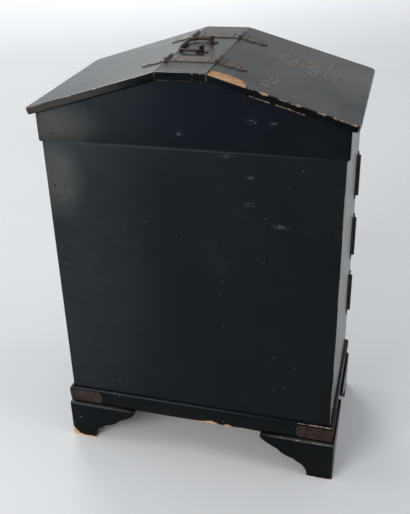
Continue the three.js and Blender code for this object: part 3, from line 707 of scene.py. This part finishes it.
# %% [markdown]
# The solids come in with every facet separate. A finished piece is a copy with its corners joined and its
# shading smooth across small angles, so that rounds look round. The import's own normals have to go first,
# because they belong to the unjoined corners. A Weighted Normal modifier then lets the large flat faces
# decide the shading, which keeps them flat beside their rounded arrises.

# %% Making a piece
SMOOTH_BELOW = math.radians(50)
WELD = 0.002 * MM
# A lacquered piece has four materials. Its own is the first, and these are the places of the others: what
# a chip uncovers, and the dust-free lacquer of a rake.
WOOD = 1
GROUND = 2
RAKE = 3
# A face of the roof belongs to the rake when it looks to the front, the back or down by at least this much.
RAKE_ALONG = 0.7
RAKE_DOWN = 0.3


def joined_copy(name):
    work = bmesh.new()
    work.from_mesh(nodes[name].data)
    bmesh.ops.remove_doubles(work, verts=work.verts, dist=WELD)
    work.normal_update()
    return work


def shade(mesh):
    if "custom_normal" in mesh.attributes:
        mesh.attributes.remove(mesh.attributes["custom_normal"])
    mesh.shade_smooth()
    mesh.set_sharp_from_angle(angle=SMOOTH_BELOW)


def make_piece(name, work, body, materials):
    mesh = bpy.data.meshes.new(name)
    work.to_mesh(mesh)
    work.free()
    for material in materials:
        mesh.materials.append(material)
    shade(mesh)
    piece = bpy.data.objects.new(name, mesh)
    bpy.context.scene.collection.objects.link(piece)
    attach(piece, body)
    return piece


def finished(name, work=None):
    materials = [finish_of(name)]
    if slot_of_node[name] == "lacquer":
        materials += [bare_wood, ground, rake_lacquer]
    work = joined_copy(name) if work is None else work
    if name in ROOF_NODES:
        for face in work.faces:
            if abs(face.normal.y) > RAKE_ALONG or face.normal.z < -RAKE_DOWN:
                face.material_index = RAKE
    piece = make_piece(name + "_finished", work, body_of_node[name], materials)
    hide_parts(name)
    even = piece.modifiers.new("even shading", "WEIGHTED_NORMAL")
    even.keep_sharp = True
    return piece


print("pieces are ready to make")

# %% [markdown]
# Chips are real hollows. Each one is an uneven pebble whose shape is taken out of the board, and an arris
# that has splintered is a row of thin long pebbles lying along it. A ball pushed in and out by noise makes a
# pebble, and no two are alike, because the noise is read at the pebble's own place.

# %% Pebbles and splinters
UNEVENNESS = 0.38
LUMPS = 1.7
SPLINTER = 1.7 * MM
USUAL_WIDTH = 0.75
LEAST_WIDTH = 0.45
# Places are multiplied by this before noise is read, so that spots a millimetre apart get unlike values.
UNLIKE = 900


def add_pebble(work, place, size, heading=(1, 0, 0)):
    """A pebble with its own length and width, lying along a heading."""
    along = Vector(heading).normalized()
    side = along.orthogonal().normalized()
    basis = Matrix((along, side, along.cross(side))).transposed()
    length, width = size
    for vertex in bmesh.ops.create_icosphere(work, subdivisions=2, radius=1.0)["verts"]:
        uneven = 1 + UNEVENNESS * noise.noise(vertex.co * LUMPS + Vector(place) * UNLIKE)
        shaped = Vector((vertex.co.x * length, vertex.co.y * width, vertex.co.z * width))
        vertex.co = Vector(place) + basis @ (shaped * uneven)


def add_splinters(work, start, end, width):
    """Overlapping long pebbles along an arris, each of its own width, with a gap where it is small."""
    start, end = Vector(start), Vector(end)
    count = max(2, round((end - start).length / SPLINTER))
    for i in range(count):
        place = start.lerp(end, (i + 0.5) / count)
        own = USUAL_WIDTH + noise.noise(place * UNLIKE)
        if own > LEAST_WIDTH:
            add_pebble(work, place, (SPLINTER, width * own), end - start)


print("pebbles are ready")

# %% [markdown]
# A boolean takes the pebbles out of a board, and the cut faces keep the pebbles' material, which is bare wood
# or the ground over it. Its result is read as a plain mesh, so no boolean is left to work at every pose. The
# borders of a chip become sharp edges, or its hollow would bend the shading of the whole board.

# %% Cutting chips
def crisp_borders(mesh):
    work = bmesh.new()
    work.from_mesh(mesh)
    for edge in work.edges:
        meeting = {face.material_index for face in edge.link_faces}
        if len(meeting) > 1 and meeting & {WOOD, GROUND}:
            edge.smooth = False
    work.to_mesh(mesh)
    work.free()


def cut(piece, cutter_work, uncovers):
    for face in cutter_work.faces:
        face.material_index = uncovers
    mesh = bpy.data.meshes.new("cutter")
    cutter_work.to_mesh(mesh)
    cutter_work.free()
    for material in piece.data.materials:
        mesh.materials.append(material)
    cutter = bpy.data.objects.new("cutter", mesh)
    bpy.context.scene.collection.objects.link(cutter)
    chips = piece.modifiers.new("chips", "BOOLEAN")
    chips.object = cutter
    chips.operation = "DIFFERENCE"
    chips.solver = "EXACT"
    chips.use_self = True
    # The shading modifier waits while the result is read, since only the boolean belongs in it.
    even = piece.modifiers["even shading"]
    even.show_viewport = False
    whole = piece.data
    result = piece.evaluated_get(bpy.context.evaluated_depsgraph_get())
    piece.data = bpy.data.meshes.new_from_object(result)
    piece.modifiers.remove(chips)
    even.show_viewport = True
    # A mesh takes the object that uses it along, so the cutter goes too.
    for leftover in (whole, mesh):
        bpy.data.meshes.remove(leftover)
    shade(piece.data)
    crisp_borders(piece.data)
    return piece


def splinter(piece, lines, pebbles=()):
    """Take splinters down to the ground along lines of start, end and width, and a few pebbles."""
    cutter = bmesh.new()
    for start, end, width in lines:
        add_splinters(cutter, start, end, width * MM)
    for pebble in pebbles:
        add_pebble(cutter, *pebble)
    return cut(piece, cutter, GROUND)


print("chips are ready to cut")

# %% [markdown]
# A flap's top is a tilted plane, and many things lie on it. The plane is read from the flap itself: its
# largest upward face gives the direction, and one corner of that face gives the height.

# %% The plane of each slope
slope_planes = {}
for side in ("left", "right"):
    flap_mesh = nodes["roof_flap_" + side].data
    top = max((face for face in flap_mesh.polygons if face.normal.z > 0.5), key=lambda face: face.area)
    slope_planes[side] = (top.normal.copy(), flap_mesh.vertices[top.vertices[0]].co.copy())


def on_slope(x, y, lift=0.0):
    normal, corner = slope_planes["left" if x < 0 else "right"]
    z = corner.z - ((x - corner.x) * normal.x + (y - corner.y) * normal.y) / normal.z
    return Vector((x, y, z)) + normal * lift


pitch = math.degrees(slope_planes["left"][0].angle(Vector((0, 0, 1))))
print("the slopes fall at", round(pitch, 1), "degrees")

# %% [markdown]
# A broad, shallow loss has an outline and a flat floor. A few points give the outline, noise makes it ragged,
# and a slab over it is what the boolean takes away.

# %% Ragged slabs
# Places are multiplied by this before noise is read: the larger it is, the finer the rags of an outline.
RAG_FINENESS = 600


def ragged_outline(corners, steps, amount):
    points = []
    for (x, y), (next_x, next_y) in zip(corners, corners[1:] + corners[:1]):
        for step in range(steps):
            share = step / steps
            place = Vector((x + (next_x - x) * share, y + (next_y - y) * share, 0)) * MM
            points.append(place + noise.noise_vector(place * RAG_FINENESS) * amount)
    return points


def add_slab(work, points, at, low, high):
    """A closed slab over an outline on a surface, between two heights above it."""
    bottom = [work.verts.new(at(point.x, point.y, low)) for point in points]
    top = [work.verts.new(at(point.x, point.y, high)) for point in points]
    work.faces.new(reversed(bottom))
    work.faces.new(top)
    for i, corner in enumerate(bottom):
        j = (i + 1) % len(bottom)
        work.faces.new((corner, bottom[j], top[j], top[i]))
    bmesh.ops.recalc_face_normals(work, faces=work.faces)


def on_back(y):
    """Places on an upright face of the back: across, up, and how far out of it."""
    return lambda x, z, lift: Vector((x, y + lift, z))


print("slabs are ready")

# %% [markdown]
# The largest loss is on the back edge of the roof, beside the ridge: a flake four centimetres long has come
# away down to the wood. Its outline is drawn on the slope, and its floor lies about a millimetre down.

# %% The flake beside the ridge
FLAKE_DEPTH = 1.1 * MM
# Across and along the slope in millimetres. The outline runs out past the ridge joint and past the rake.
flake_outline = [(-26, 116), (-27, 101.5), (-32, 96.5), (-40, 94.2), (-50, 93.5), (-58, 95), (-64, 98),
                 (-67.5, 104), (-69, 109), (-70, 116)]
roof_left = finished("roof_flap_left")
cutter = bmesh.new()
flake = ragged_outline(flake_outline, steps=5, amount=0.8 * MM)
add_slab(cutter, flake, on_slope, low=-FLAKE_DEPTH, high=3 * MM)
cut(roof_left, cutter, WOOD)
print("left flap has", len(roof_left.data.polygons), "faces")

# %% [markdown]
# Down from the flake the rake's two arrises have splintered, the upper one mostly in short pieces and the
# lower one in longer lines. The other slope has a few thin stretches. Two knocks went down to the wood, one
# at the corner of the eave and one under the rake.

# %% Splinters along the rakes
THICKNESS = 8.5 * MM
# How far the arris's rounding keeps the surface back from where the faces would meet.
ROUNDED = 0.6 * MM
# From and to, across from the middle, and width, in millimetres.
upper_splinters = [(72, 77, 0.8), (83, 92, 1.5), (104, 112, 0.8), (115, 126, 1.1), (143, 151, 1.0),
                   (160, 183, 1.3)]
lower_splinters = [(76, 96, 0.8), (103, 120, 1.5), (120, 133, 0.8)]
right_splinters = [(46, 52, 0.5), (88, 100, 0.5), (128, 140, 0.6), (166, 182, 0.8)]


def along_rake(sign, table, lift):
    lines = []
    for start, end, width in table:
        ends = [on_slope(sign * across * MM, rake - ROUNDED, lift) for across in (start, end)]
        lines.append((*ends, width))
    return lines


upper_lines = along_rake(-1, upper_splinters, -ROUNDED)
lower_lines = along_rake(-1, lower_splinters, ROUNDED - THICKNESS)
splinter(roof_left, upper_lines + lower_lines)
splinter(finished("roof_flap_right"), along_rake(1, right_splinters, -ROUNDED))

cutter = bmesh.new()
add_pebble(cutter, on_slope(-186.5 * MM, rake - 3 * MM), (4.5 * MM, 1.8 * MM), (0.5, -1, 0))
add_pebble(cutter, on_slope(-112 * MM, rake, -THICKNESS), (4 * MM, 1.3 * MM), (1, 0, 0.3))
cut(roof_left, cutter, WOOD)
print(len(upper_lines), "upper and", len(lower_lines), "lower splintered stretches on the left flap")

# %% [markdown]
# The ridge board has one splintered stretch, and pale lines down its two ends, where the open joints beside
# it have rubbed.

# %% Splinters of the ridge board
ridge_end, _, ridge_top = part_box("ridge_board")[1]
ridge_arris = (rake - ROUNDED, ridge_top - ROUNDED)
ridge_lines = [((-10 * MM, *ridge_arris), (-27.5 * MM, *ridge_arris), 0.8)]
for x in (-ridge_end, ridge_end):
    ends = [(x, rake - ROUNDED / 2, ridge_top - depth * MM) for depth in (1, 8)]
    ridge_lines.append((*ends, 0.45))
splinter(finished("ridge_board"), ridge_lines)
print(len(ridge_lines), "splintered stretches on the ridge board")

# %% [markdown]
# Most boards of the case have no damage of their own. They get finished copies all the same, because their
# rounded arrises catch the light, and faceted arrises would show in it. The lacquer runs over the joints
# beside the back panel, so its copy is a hair wider and closes them.

# %% Boards and doors
panel = joined_copy("back_panel")
side_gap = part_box("back_panel")[0].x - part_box("side_panel_left")[1].x
for vertex in panel.verts:
    vertex.co.x += math.copysign(side_gap, vertex.co.x)
finished("back_panel", panel)

board_names = ("side_panel_left", "side_panel_right", "base_rail", "door_left", "door_right",
               "gable_board_front", "band_board_left", "band_board_right", "base_moulding_front",
               "base_moulding_left", "base_moulding_right")
boards = {name: finished(name) for name in board_names}
print(len(boards), "boards, doors and mouldings finished")

# %% [markdown]
# A back corner of the case has rubbed and splintered in thin upright lines, most of all near the base.

# %% Splinters of the case's corner
ARRIS = 0.3 * MM
# From and to, up from the floor, and width, in millimetres.
corner_splinters = [(86, 150, 0.6), (112, 140, 1.0), (172, 196, 0.35), (262, 296, 0.4), (348, 402, 0.4)]
corner = (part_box("side_panel_left")[0].x + ARRIS, back - ARRIS)
corner_lines = [((*corner, low * MM), (*corner, high * MM), width) for low, high, width in corner_splinters]
splinter(boards["side_panel_left"], corner_lines)
print(len(corner_lines), "splintered stretches on the corner")

# %% [markdown]
# The lower arris of the back gable board is worn rounder than the others, so a soft line of light runs along
# it. New loops are cut into the copy just above the arris, and each is drawn in to follow a quarter circle.

# %% The worn arris of the upper band
WORN_ROUND = 2.4 * MM
ARC_STEPS = 5
board = joined_copy("gable_board_back")
foot_of_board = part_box("gable_board_back")[0].z
face_of_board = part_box("gable_board_back")[1].y
for step in range(1, ARC_STEPS + 1):
    height = WORN_ROUND * (1 - math.cos(math.pi / 2 * step / ARC_STEPS))
    bmesh.ops.bisect_plane(board, geom=board.verts[:] + board.edges[:] + board.faces[:],
                           plane_co=(0, 0, foot_of_board + height), plane_no=(0, 0, 1))
for vertex in board.verts:
    below = foot_of_board + WORN_ROUND - vertex.co.z
    if below > 0:
        furthest = face_of_board - WORN_ROUND + math.sqrt(max(0.0, WORN_ROUND ** 2 - below ** 2))
        vertex.co.y = min(vertex.co.y, furthest)
finished("gable_board_back", board)
print("arris worn to a radius of", round(WORN_ROUND / MM, 1), "mm")

# %% [markdown]
# Under the back moulding the film has come off in three flat pieces, and its upper arris has splintered
# towards one corner. The flat losses are ragged slabs on the moulding's face, down to the wood.

# %% Losses of the back moulding
moulding_low, moulding_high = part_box("base_moulding_back")
# Outlines in millimetres, across and up from the moulding's lower arris.
lost_films = [
    [(17, -2), (17, 0.8), (8, 1.5), (-2, 1.7), (-10, 2.5), (-16, 4.3), (-21, 5.2), (-26, 3.9), (-30, 1.7),
     (-34, -2)],
    [(-38, -2), (-38, 1.9), (-42, 3.6), (-46, 2.8), (-50, 1.2), (-50, -2)],
    [(-56, -2), (-56, 0.9), (-63, 1.6), (-70, 1.3), (-77, 0.7), (-77, -2)],
]
moulding_back = finished("base_moulding_back")
cutter = bmesh.new()
for lost in lost_films:
    lifted = [(x, moulding_low.z / MM + z) for x, z in lost]
    outline = ragged_outline(lifted, steps=3, amount=0.4 * MM)
    add_slab(cutter, outline, on_back(moulding_high.y), low=-2 * MM, high=1 * MM)
cut(moulding_back, cutter, WOOD)

slope_of_top = (moulding_high.y - 0.8 * MM, moulding_high.z - 2 * MM)
top_lines = [((start * MM, *slope_of_top), (end * MM, *slope_of_top), width)
             for start, end, width in ((-134, -152, 0.5), (-150, -178, 0.9))]
splinter(moulding_back, top_lines, [((114.4 * MM, *slope_of_top), (1.2 * MM, 0.6 * MM))])
print(len(lost_films), "losses under the moulding")

# %% [markdown]
# Feet are knocked by brooms and shoes, so their toes are chipped. One back foot has lost its outer corner,
# and the top of the other has splintered where it stands out under the moulding.

# %% Back feet
FILM = 0.9 * MM
foot_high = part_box("bracket_foot_back_left")[1]
foot_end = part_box("bracket_foot_back_right")[1].x
# Outlines in millimetres, across and up from the floor, on the back face of each foot.
lost_corner = [(184, -2), (184, 15), (181.3, 15.5), (178, 12), (174.5, 7), (171, 3.6), (163, 2.2),
               (155, 2.6), (150, 2.2), (146, 3), (146, -2)]
lost_toe = [(-145, -2), (-145, 2.4), (-148, 2.6), (-152, 1), (-166, 0.8), (-178, 1.6), (-184, 3),
            (-184, -2)]
knocks = [((foot_end, foot_high.y - 1 * MM, 6 * MM), (9 * MM, 1.6 * MM), (0, 0, 1)),
          ((166.7 * MM, foot_high.y, 33.9 * MM), (1.1 * MM, 0.5 * MM))]
feet = {}
for side, lost, pebbles in (("right", lost_corner, knocks), ("left", lost_toe, [])):
    feet[side] = finished("bracket_foot_back_" + side)
    cutter = bmesh.new()
    outline = ragged_outline(lost, steps=4, amount=0.7 * MM)
    add_slab(cutter, outline, on_back(foot_high.y), low=-FILM, high=2 * MM)
    for pebble in pebbles:
        add_pebble(cutter, *pebble)
    cut(feet[side], cutter, WOOD)

foot_arris = (foot_high.y - ARRIS, foot_high.z - ARRIS)
foot_lines = [((-start * MM, *foot_arris), (-end * MM, *foot_arris), width)
              for start, end, width in ((100, 118, 0.4), (122, 150, 0.5), (154, 181, 0.7))]
splinter(feet["left"], foot_lines)
print(len(feet), "back feet chipped")

# %% [markdown]
# The front feet have only a small chip each, on the lower arris of their front face.

# %% Front feet
front_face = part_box("bracket_foot_front_left")[0].y
front_chips = (("bracket_foot_front_right", 174, 6), ("bracket_foot_front_left", -158, 8))
for name, x, length in front_chips:
    cutter = bmesh.new()
    add_pebble(cutter, (x * MM, front_face, 0.5 * MM), (length * MM, 1.5 * MM))
    cut(finished(name), cutter, WOOD)
print(len(front_chips), "front feet chipped")

# %% [markdown]
# The hinge plates are thin, and each has a raised border. The border comes from insetting the plate's top
# face and sinking what is inside, which is how a smith would see it too: the middle is beaten down, and the
# edge stays. The top is the height at which the most upward area lies, so knuckles don't count.

# %% Plates with raised borders
SIDES = (("left", -1), ("right", 1))
BORDER = 1.3 * MM
SINK = 0.28 * MM
LEVEL_STEP = 0.02 * MM
FACES_UP = 0.999


def level_of(face, up):
    return round(face.calc_center_median().dot(up) / LEVEL_STEP)


def with_border(name, up):
    work = joined_copy(name)
    upward = [face for face in work.faces if face.normal.dot(up) > FACES_UP]
    area_at = {}
    for face in upward:
        level = level_of(face, up)
        area_at[level] = area_at.get(level, 0) + face.calc_area()
    plate = max(area_at, key=area_at.get)
    tops = [face for face in upward if abs(level_of(face, up) - plate) <= 1]
    bmesh.ops.inset_region(work, faces=tops, thickness=BORDER, depth=-SINK, use_even_offset=True)
    return finished(name, work)


plates = []
for end in ("front", "back"):
    plates.append(with_border("ridge_strap_" + end, Vector((0, 0, 1))))
    for side in ("left", "right"):
        plates.append(with_border(f"flap_leaf_{side}_{end}", slope_planes[side][0]))
for side, sign in SIDES:
    for number in (1, 2, 3):
        plates.append(with_border(f"case_leaf_{side}_{number}", Vector((sign, 0, 0))))
        plates.append(with_border(f"door_leaf_{side}_{number}", Vector((0, -1, 0))))
print(len(plates), "hinge plates bordered")

# %% [markdown]
# The bail, its posts and rosettes, the door knobs and the corner mounts have their whole shape from CAD. A
# finished copy only makes their rounds smooth.

# %% Other metalwork
metalwork = [name for name in slot_of_node
             if name.startswith(("handle_", "bail_", "door_knob", "corner_mount"))]
for name in metalwork:
    finished(name)
print(len(metalwork), "pieces of metalwork finished")

# %% [markdown]
# Small round-headed nails hold the plates. A nail head is a turned shape: a profile of radius and height goes
# round an axis.

# %% Turned shapes
SEGMENTS = 14
NAIL_RADIUS = 1.35 * MM
NAIL_HEIGHT = 0.8 * MM
DOME_STEPS = 3


def add_turned(work, profile, place, axis):
    basis = Vector(axis).to_track_quat("Z", "Y").to_matrix()
    rings = []
    for radius, height in profile:
        ring = []
        for i in range(SEGMENTS if radius > 0 else 1):
            angle = 2 * math.pi * i / SEGMENTS
            corner = Vector((radius * math.cos(angle), radius * math.sin(angle), height))
            ring.append(work.verts.new(Vector(place) + basis @ corner))
        rings.append(ring)
    for low, high in zip(rings, rings[1:]):
        for i in range(SEGMENTS):
            j = (i + 1) % SEGMENTS
            corners = [low[i % len(low)], low[j % len(low)], high[j % len(high)], high[i % len(high)]]
            work.faces.new(list(dict.fromkeys(corners)))


nail_profile = [(0, -NAIL_HEIGHT), (NAIL_RADIUS * 0.9, -NAIL_HEIGHT), (NAIL_RADIUS, 0)]
for step in range(1, DOME_STEPS + 1):
    angle = math.pi / 2 * step / DOME_STEPS
    radius = NAIL_RADIUS * math.cos(angle) if step < DOME_STEPS else 0
    nail_profile.append((radius, NAIL_HEIGHT * math.sin(angle)))
print("a nail head has", len(nail_profile), "points in its profile")

# %% [markdown]
# Each strap has four nails, and each leaf three. All the nails of one body are one mesh, because nobody needs
# them one by one, and they ride on that body when a flap or a door opens.

# %% Nails
PLATE_LIFT = 1.0 * MM
STRAP_ACROSS = 19 * MM
STRAP_APART = 5.5 * MM
# Across from the middle of the roof, and apart from the middle of the leaf, in millimetres.
ROOF_LEAF_NAILS = ((36, 5.8), (36, -5.8), (53.5, 0))
UP_THE_LEAF = (0.14, 0.5, 0.86)
FROM_CASE_EDGE = 4.5 * MM
FROM_DOOR_EDGE = 6 * MM

nails = {body: bmesh.new() for body in ("case", "flap_left", "flap_right", "door_left", "door_right")}
for end in ("front", "back"):
    low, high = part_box("ridge_strap_" + end)
    middle = (low.y + high.y) / 2
    for x in (-STRAP_ACROSS, STRAP_ACROSS):
        for y in (middle - STRAP_APART, middle + STRAP_APART):
            add_turned(nails["case"], nail_profile, (x, y, ridge_top + PLATE_LIFT), (0, 0, 1))
    for side, sign in SIDES:
        for across, apart in ROOF_LEAF_NAILS:
            place = on_slope(sign * across * MM, middle + apart * MM, PLATE_LIFT)
            add_turned(nails["flap_" + side], nail_profile, place, slope_planes[side][0])

for side, sign in SIDES:
    for number in (1, 2, 3):
        low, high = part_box(f"case_leaf_{side}_{number}")
        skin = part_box("side_panel_" + side)[0 if sign < 0 else 1].x + sign * PLATE_LIFT
        for share in UP_THE_LEAF:
            place = (skin, high.y - FROM_CASE_EDGE, low.z + (high.z - low.z) * share)
            add_turned(nails["case"], nail_profile, place, (sign, 0, 0))
        low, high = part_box(f"door_leaf_{side}_{number}")
        x = (low.x if sign > 0 else high.x) + sign * FROM_DOOR_EDGE
        for share in UP_THE_LEAF:
            place = (x, low.y, low.z + (high.z - low.z) * share)
            add_turned(nails["door_" + side], nail_profile, place, (0, -1, 0))

for body, work in nails.items():
    make_piece("nails_" + body, work, body, [iron])
print(len(nails), "bodies have nails")

# %% [markdown]
# The corner mounts are pinned near both ends of both their sides. The pins are the same turned shape as the
# nails, only smaller, and of copper.

# %% Pins of the corner mounts
PIN_SCALE = 0.7
PIN_UP = 0.55
PIN_SHARES = (0.12, 0.86)
SEATED = 0.2 * MM
pin_profile = [(radius * PIN_SCALE, height * PIN_SCALE) for radius, height in nail_profile]
pin_places = []
for end, sign_y in (("front", -1), ("back", 1)):
    for side, sign_x in SIDES:
        low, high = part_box(f"corner_mount_{end}_{side}")
        z = low.z + (high.z - low.z) * PIN_UP
        out_x, in_x = (low.x, high.x) if sign_x < 0 else (high.x, low.x)
        out_y, in_y = (low.y, high.y) if sign_y < 0 else (high.y, low.y)
        for share in PIN_SHARES:
            x = in_x + (out_x - in_x) * share
            y = in_y + (out_y - in_y) * share
            pin_places.append(((x, out_y - sign_y * SEATED, z), (0, sign_y, 0)))
            pin_places.append(((out_x - sign_x * SEATED, y, z), (sign_x, 0, 0)))
pins = bmesh.new()
for place, axis in pin_places:
    add_turned(pins, pin_profile, place, axis)
make_piece("mount_pins", pins, "case", [copper])
print(len(pin_places), "pins")

# %% [markdown]
# The gilding on one slope shows as sprigs of plum blossom, a common pattern. Gold dust was sprinkled into wet
# lacquer, so every leaf stands a hair above the ground. Each petal and leaf is therefore a thin closed slab
# that lies on the slope. The outlines come from formulas: a leaf is a pointed ring, a blossom a ring with
# five swellings, and a stem a curve that bows on its way.

# %% Outlines of leaf, blossom and stem
LEAF_CORNERS = 14
LEAF_POINT = 0.3
BLOSSOM_CORNERS = 50
PETALS = 5
# Between two petals the ring of a blossom draws in to this share of its radius.
HEART = 0.52
PETAL_ROUND = 0.55
STEM_STEPS = 12
STEM_TAPER = 0.6


def leaf_points(length, width, heading):
    points = []
    for i in range(LEAF_CORNERS):
        angle = 2 * math.pi * i / LEAF_CORNERS
        x = length / 2 * (1 + math.cos(angle))
        y = width / 2 * math.sin(angle) * abs(math.sin(angle)) ** LEAF_POINT
        across = x * math.cos(heading) - y * math.sin(heading)
        points.append((across, x * math.sin(heading) + y * math.cos(heading)))
    return points


def blossom_points(radius, heading):
    points = []
    for i in range(BLOSSOM_CORNERS):
        angle = 2 * math.pi * i / BLOSSOM_CORNERS
        swelling = abs(math.cos(PETALS / 2 * (angle - heading))) ** PETAL_ROUND
        reach = radius * (HEART + (1 - HEART) * swelling)
        points.append((reach * math.cos(angle), reach * math.sin(angle)))
    return points


def stem_points(start, bow, end, width):
    centre = []
    for i in range(STEM_STEPS + 1):
        gone = i / STEM_STEPS
        centre.append(start * (1 - gone) ** 2 + bow * 2 * gone * (1 - gone) + end * gone * gone)
    left, right = [], []
    for i, place in enumerate(centre):
        ahead = (centre[min(i + 1, STEM_STEPS)] - centre[max(i - 1, 0)]).normalized()
        half = width * (1 - STEM_TAPER * i / STEM_STEPS) / 2
        left.append(place + Vector((-ahead.y, ahead.x, 0)) * half)
        right.append(place - Vector((-ahead.y, ahead.x, 0)) * half)
    return centre, left + right[::-1]


print("a blossom has", BLOSSOM_CORNERS, "corners")

# %% [markdown]
# A sprig is one stem with leaves to both sides, and four blossoms on alternate sides that grow smaller
# towards its tip. Eight sprigs of different size fill the slope, as loosely as the old ones do.

# %% Sprigs of blossom
GILT_LIFT = 0.12 * MM
GILT_SUNK = -0.1 * MM
STEM_WIDTH = 1.1 * MM
LEAVES = 9
LEAF_LENGTHS = (9 * MM, 7 * MM, 5 * MM)
LEAF_WIDTH = 3.6 * MM
LEAF_TURN = 0.9
BLOSSOM_ASIDE = 5.5
BLOSSOM_TURN = 5
# Share of the stem at which each blossom grows, and its radius in millimetres.
BLOSSOMS = ((0.15, 5.2), (0.43, 4.8), (0.71, 4.4), (0.99, 4.0))
# Start, bow and end of each stem in millimetres on the slope, then its size.
stems = [
    ((82, 4), (100, -44), (150, -52), 0.9), ((92, 2), (96, -22), (118, -34), 0.75),
    ((118, 6), (124, -18), (147, -24), 0.8), ((104, -30), (122, -60), (144, -62), 0.7),
    ((74, -20), (84, -40), (98, -58), 0.7), ((136, 0), (148, -6), (157, -30), 0.65),
    ((80, 88), (83, 72), (97, 60), 0.75), ((84, 66), (88, 60), (95, 54), 0.6),
]


def add_outline(work, place, points):
    corners = [Vector((place.x + x, place.y + y, 0)) for x, y in points]
    add_slab(work, corners, on_slope, GILT_SUNK, GILT_LIFT)


def add_sprig(work, start, bow, end, blossoms, size):
    centre, outline = stem_points(start, bow, end, STEM_WIDTH * size)
    add_slab(work, outline, on_slope, GILT_SUNK, GILT_LIFT)
    for i in range(LEAVES):
        at = 1 + i * (STEM_STEPS - 1) // LEAVES
        ahead = centre[at + 1] - centre[at]
        heading = math.atan2(ahead.y, ahead.x) + (LEAF_TURN if i % 2 else -LEAF_TURN)
        length = LEAF_LENGTHS[i % len(LEAF_LENGTHS)] * size
        add_outline(work, centre[at], leaf_points(length, LEAF_WIDTH * size, heading))
    for share, aside, radius in blossoms:
        at = round(share * (STEM_STEPS - 1))
        ahead = (centre[at + 1] - centre[at]).normalized()
        place = centre[at] + Vector((-ahead.y, ahead.x, 0)) * aside * MM
        add_outline(work, place, blossom_points(radius * MM * size, share * BLOSSOM_TURN))


sprigs = bmesh.new()
for number, (start, bow, end, size) in enumerate(stems):
    ends = [Vector((-x * MM, y * MM, 0)) for x, y in (start, bow, end)]
    blossoms = []
    for k, (share, radius) in enumerate(BLOSSOMS):
        aside = BLOSSOM_ASIDE if (k + number) % 2 else -BLOSSOM_ASIDE
        blossoms.append((share, aside * size, radius))
    add_sprig(sprigs, *ends, blossoms, size)
make_piece("gilt_sprigs", sprigs, "flap_left", [gilding])
print(len(stems), "sprigs")
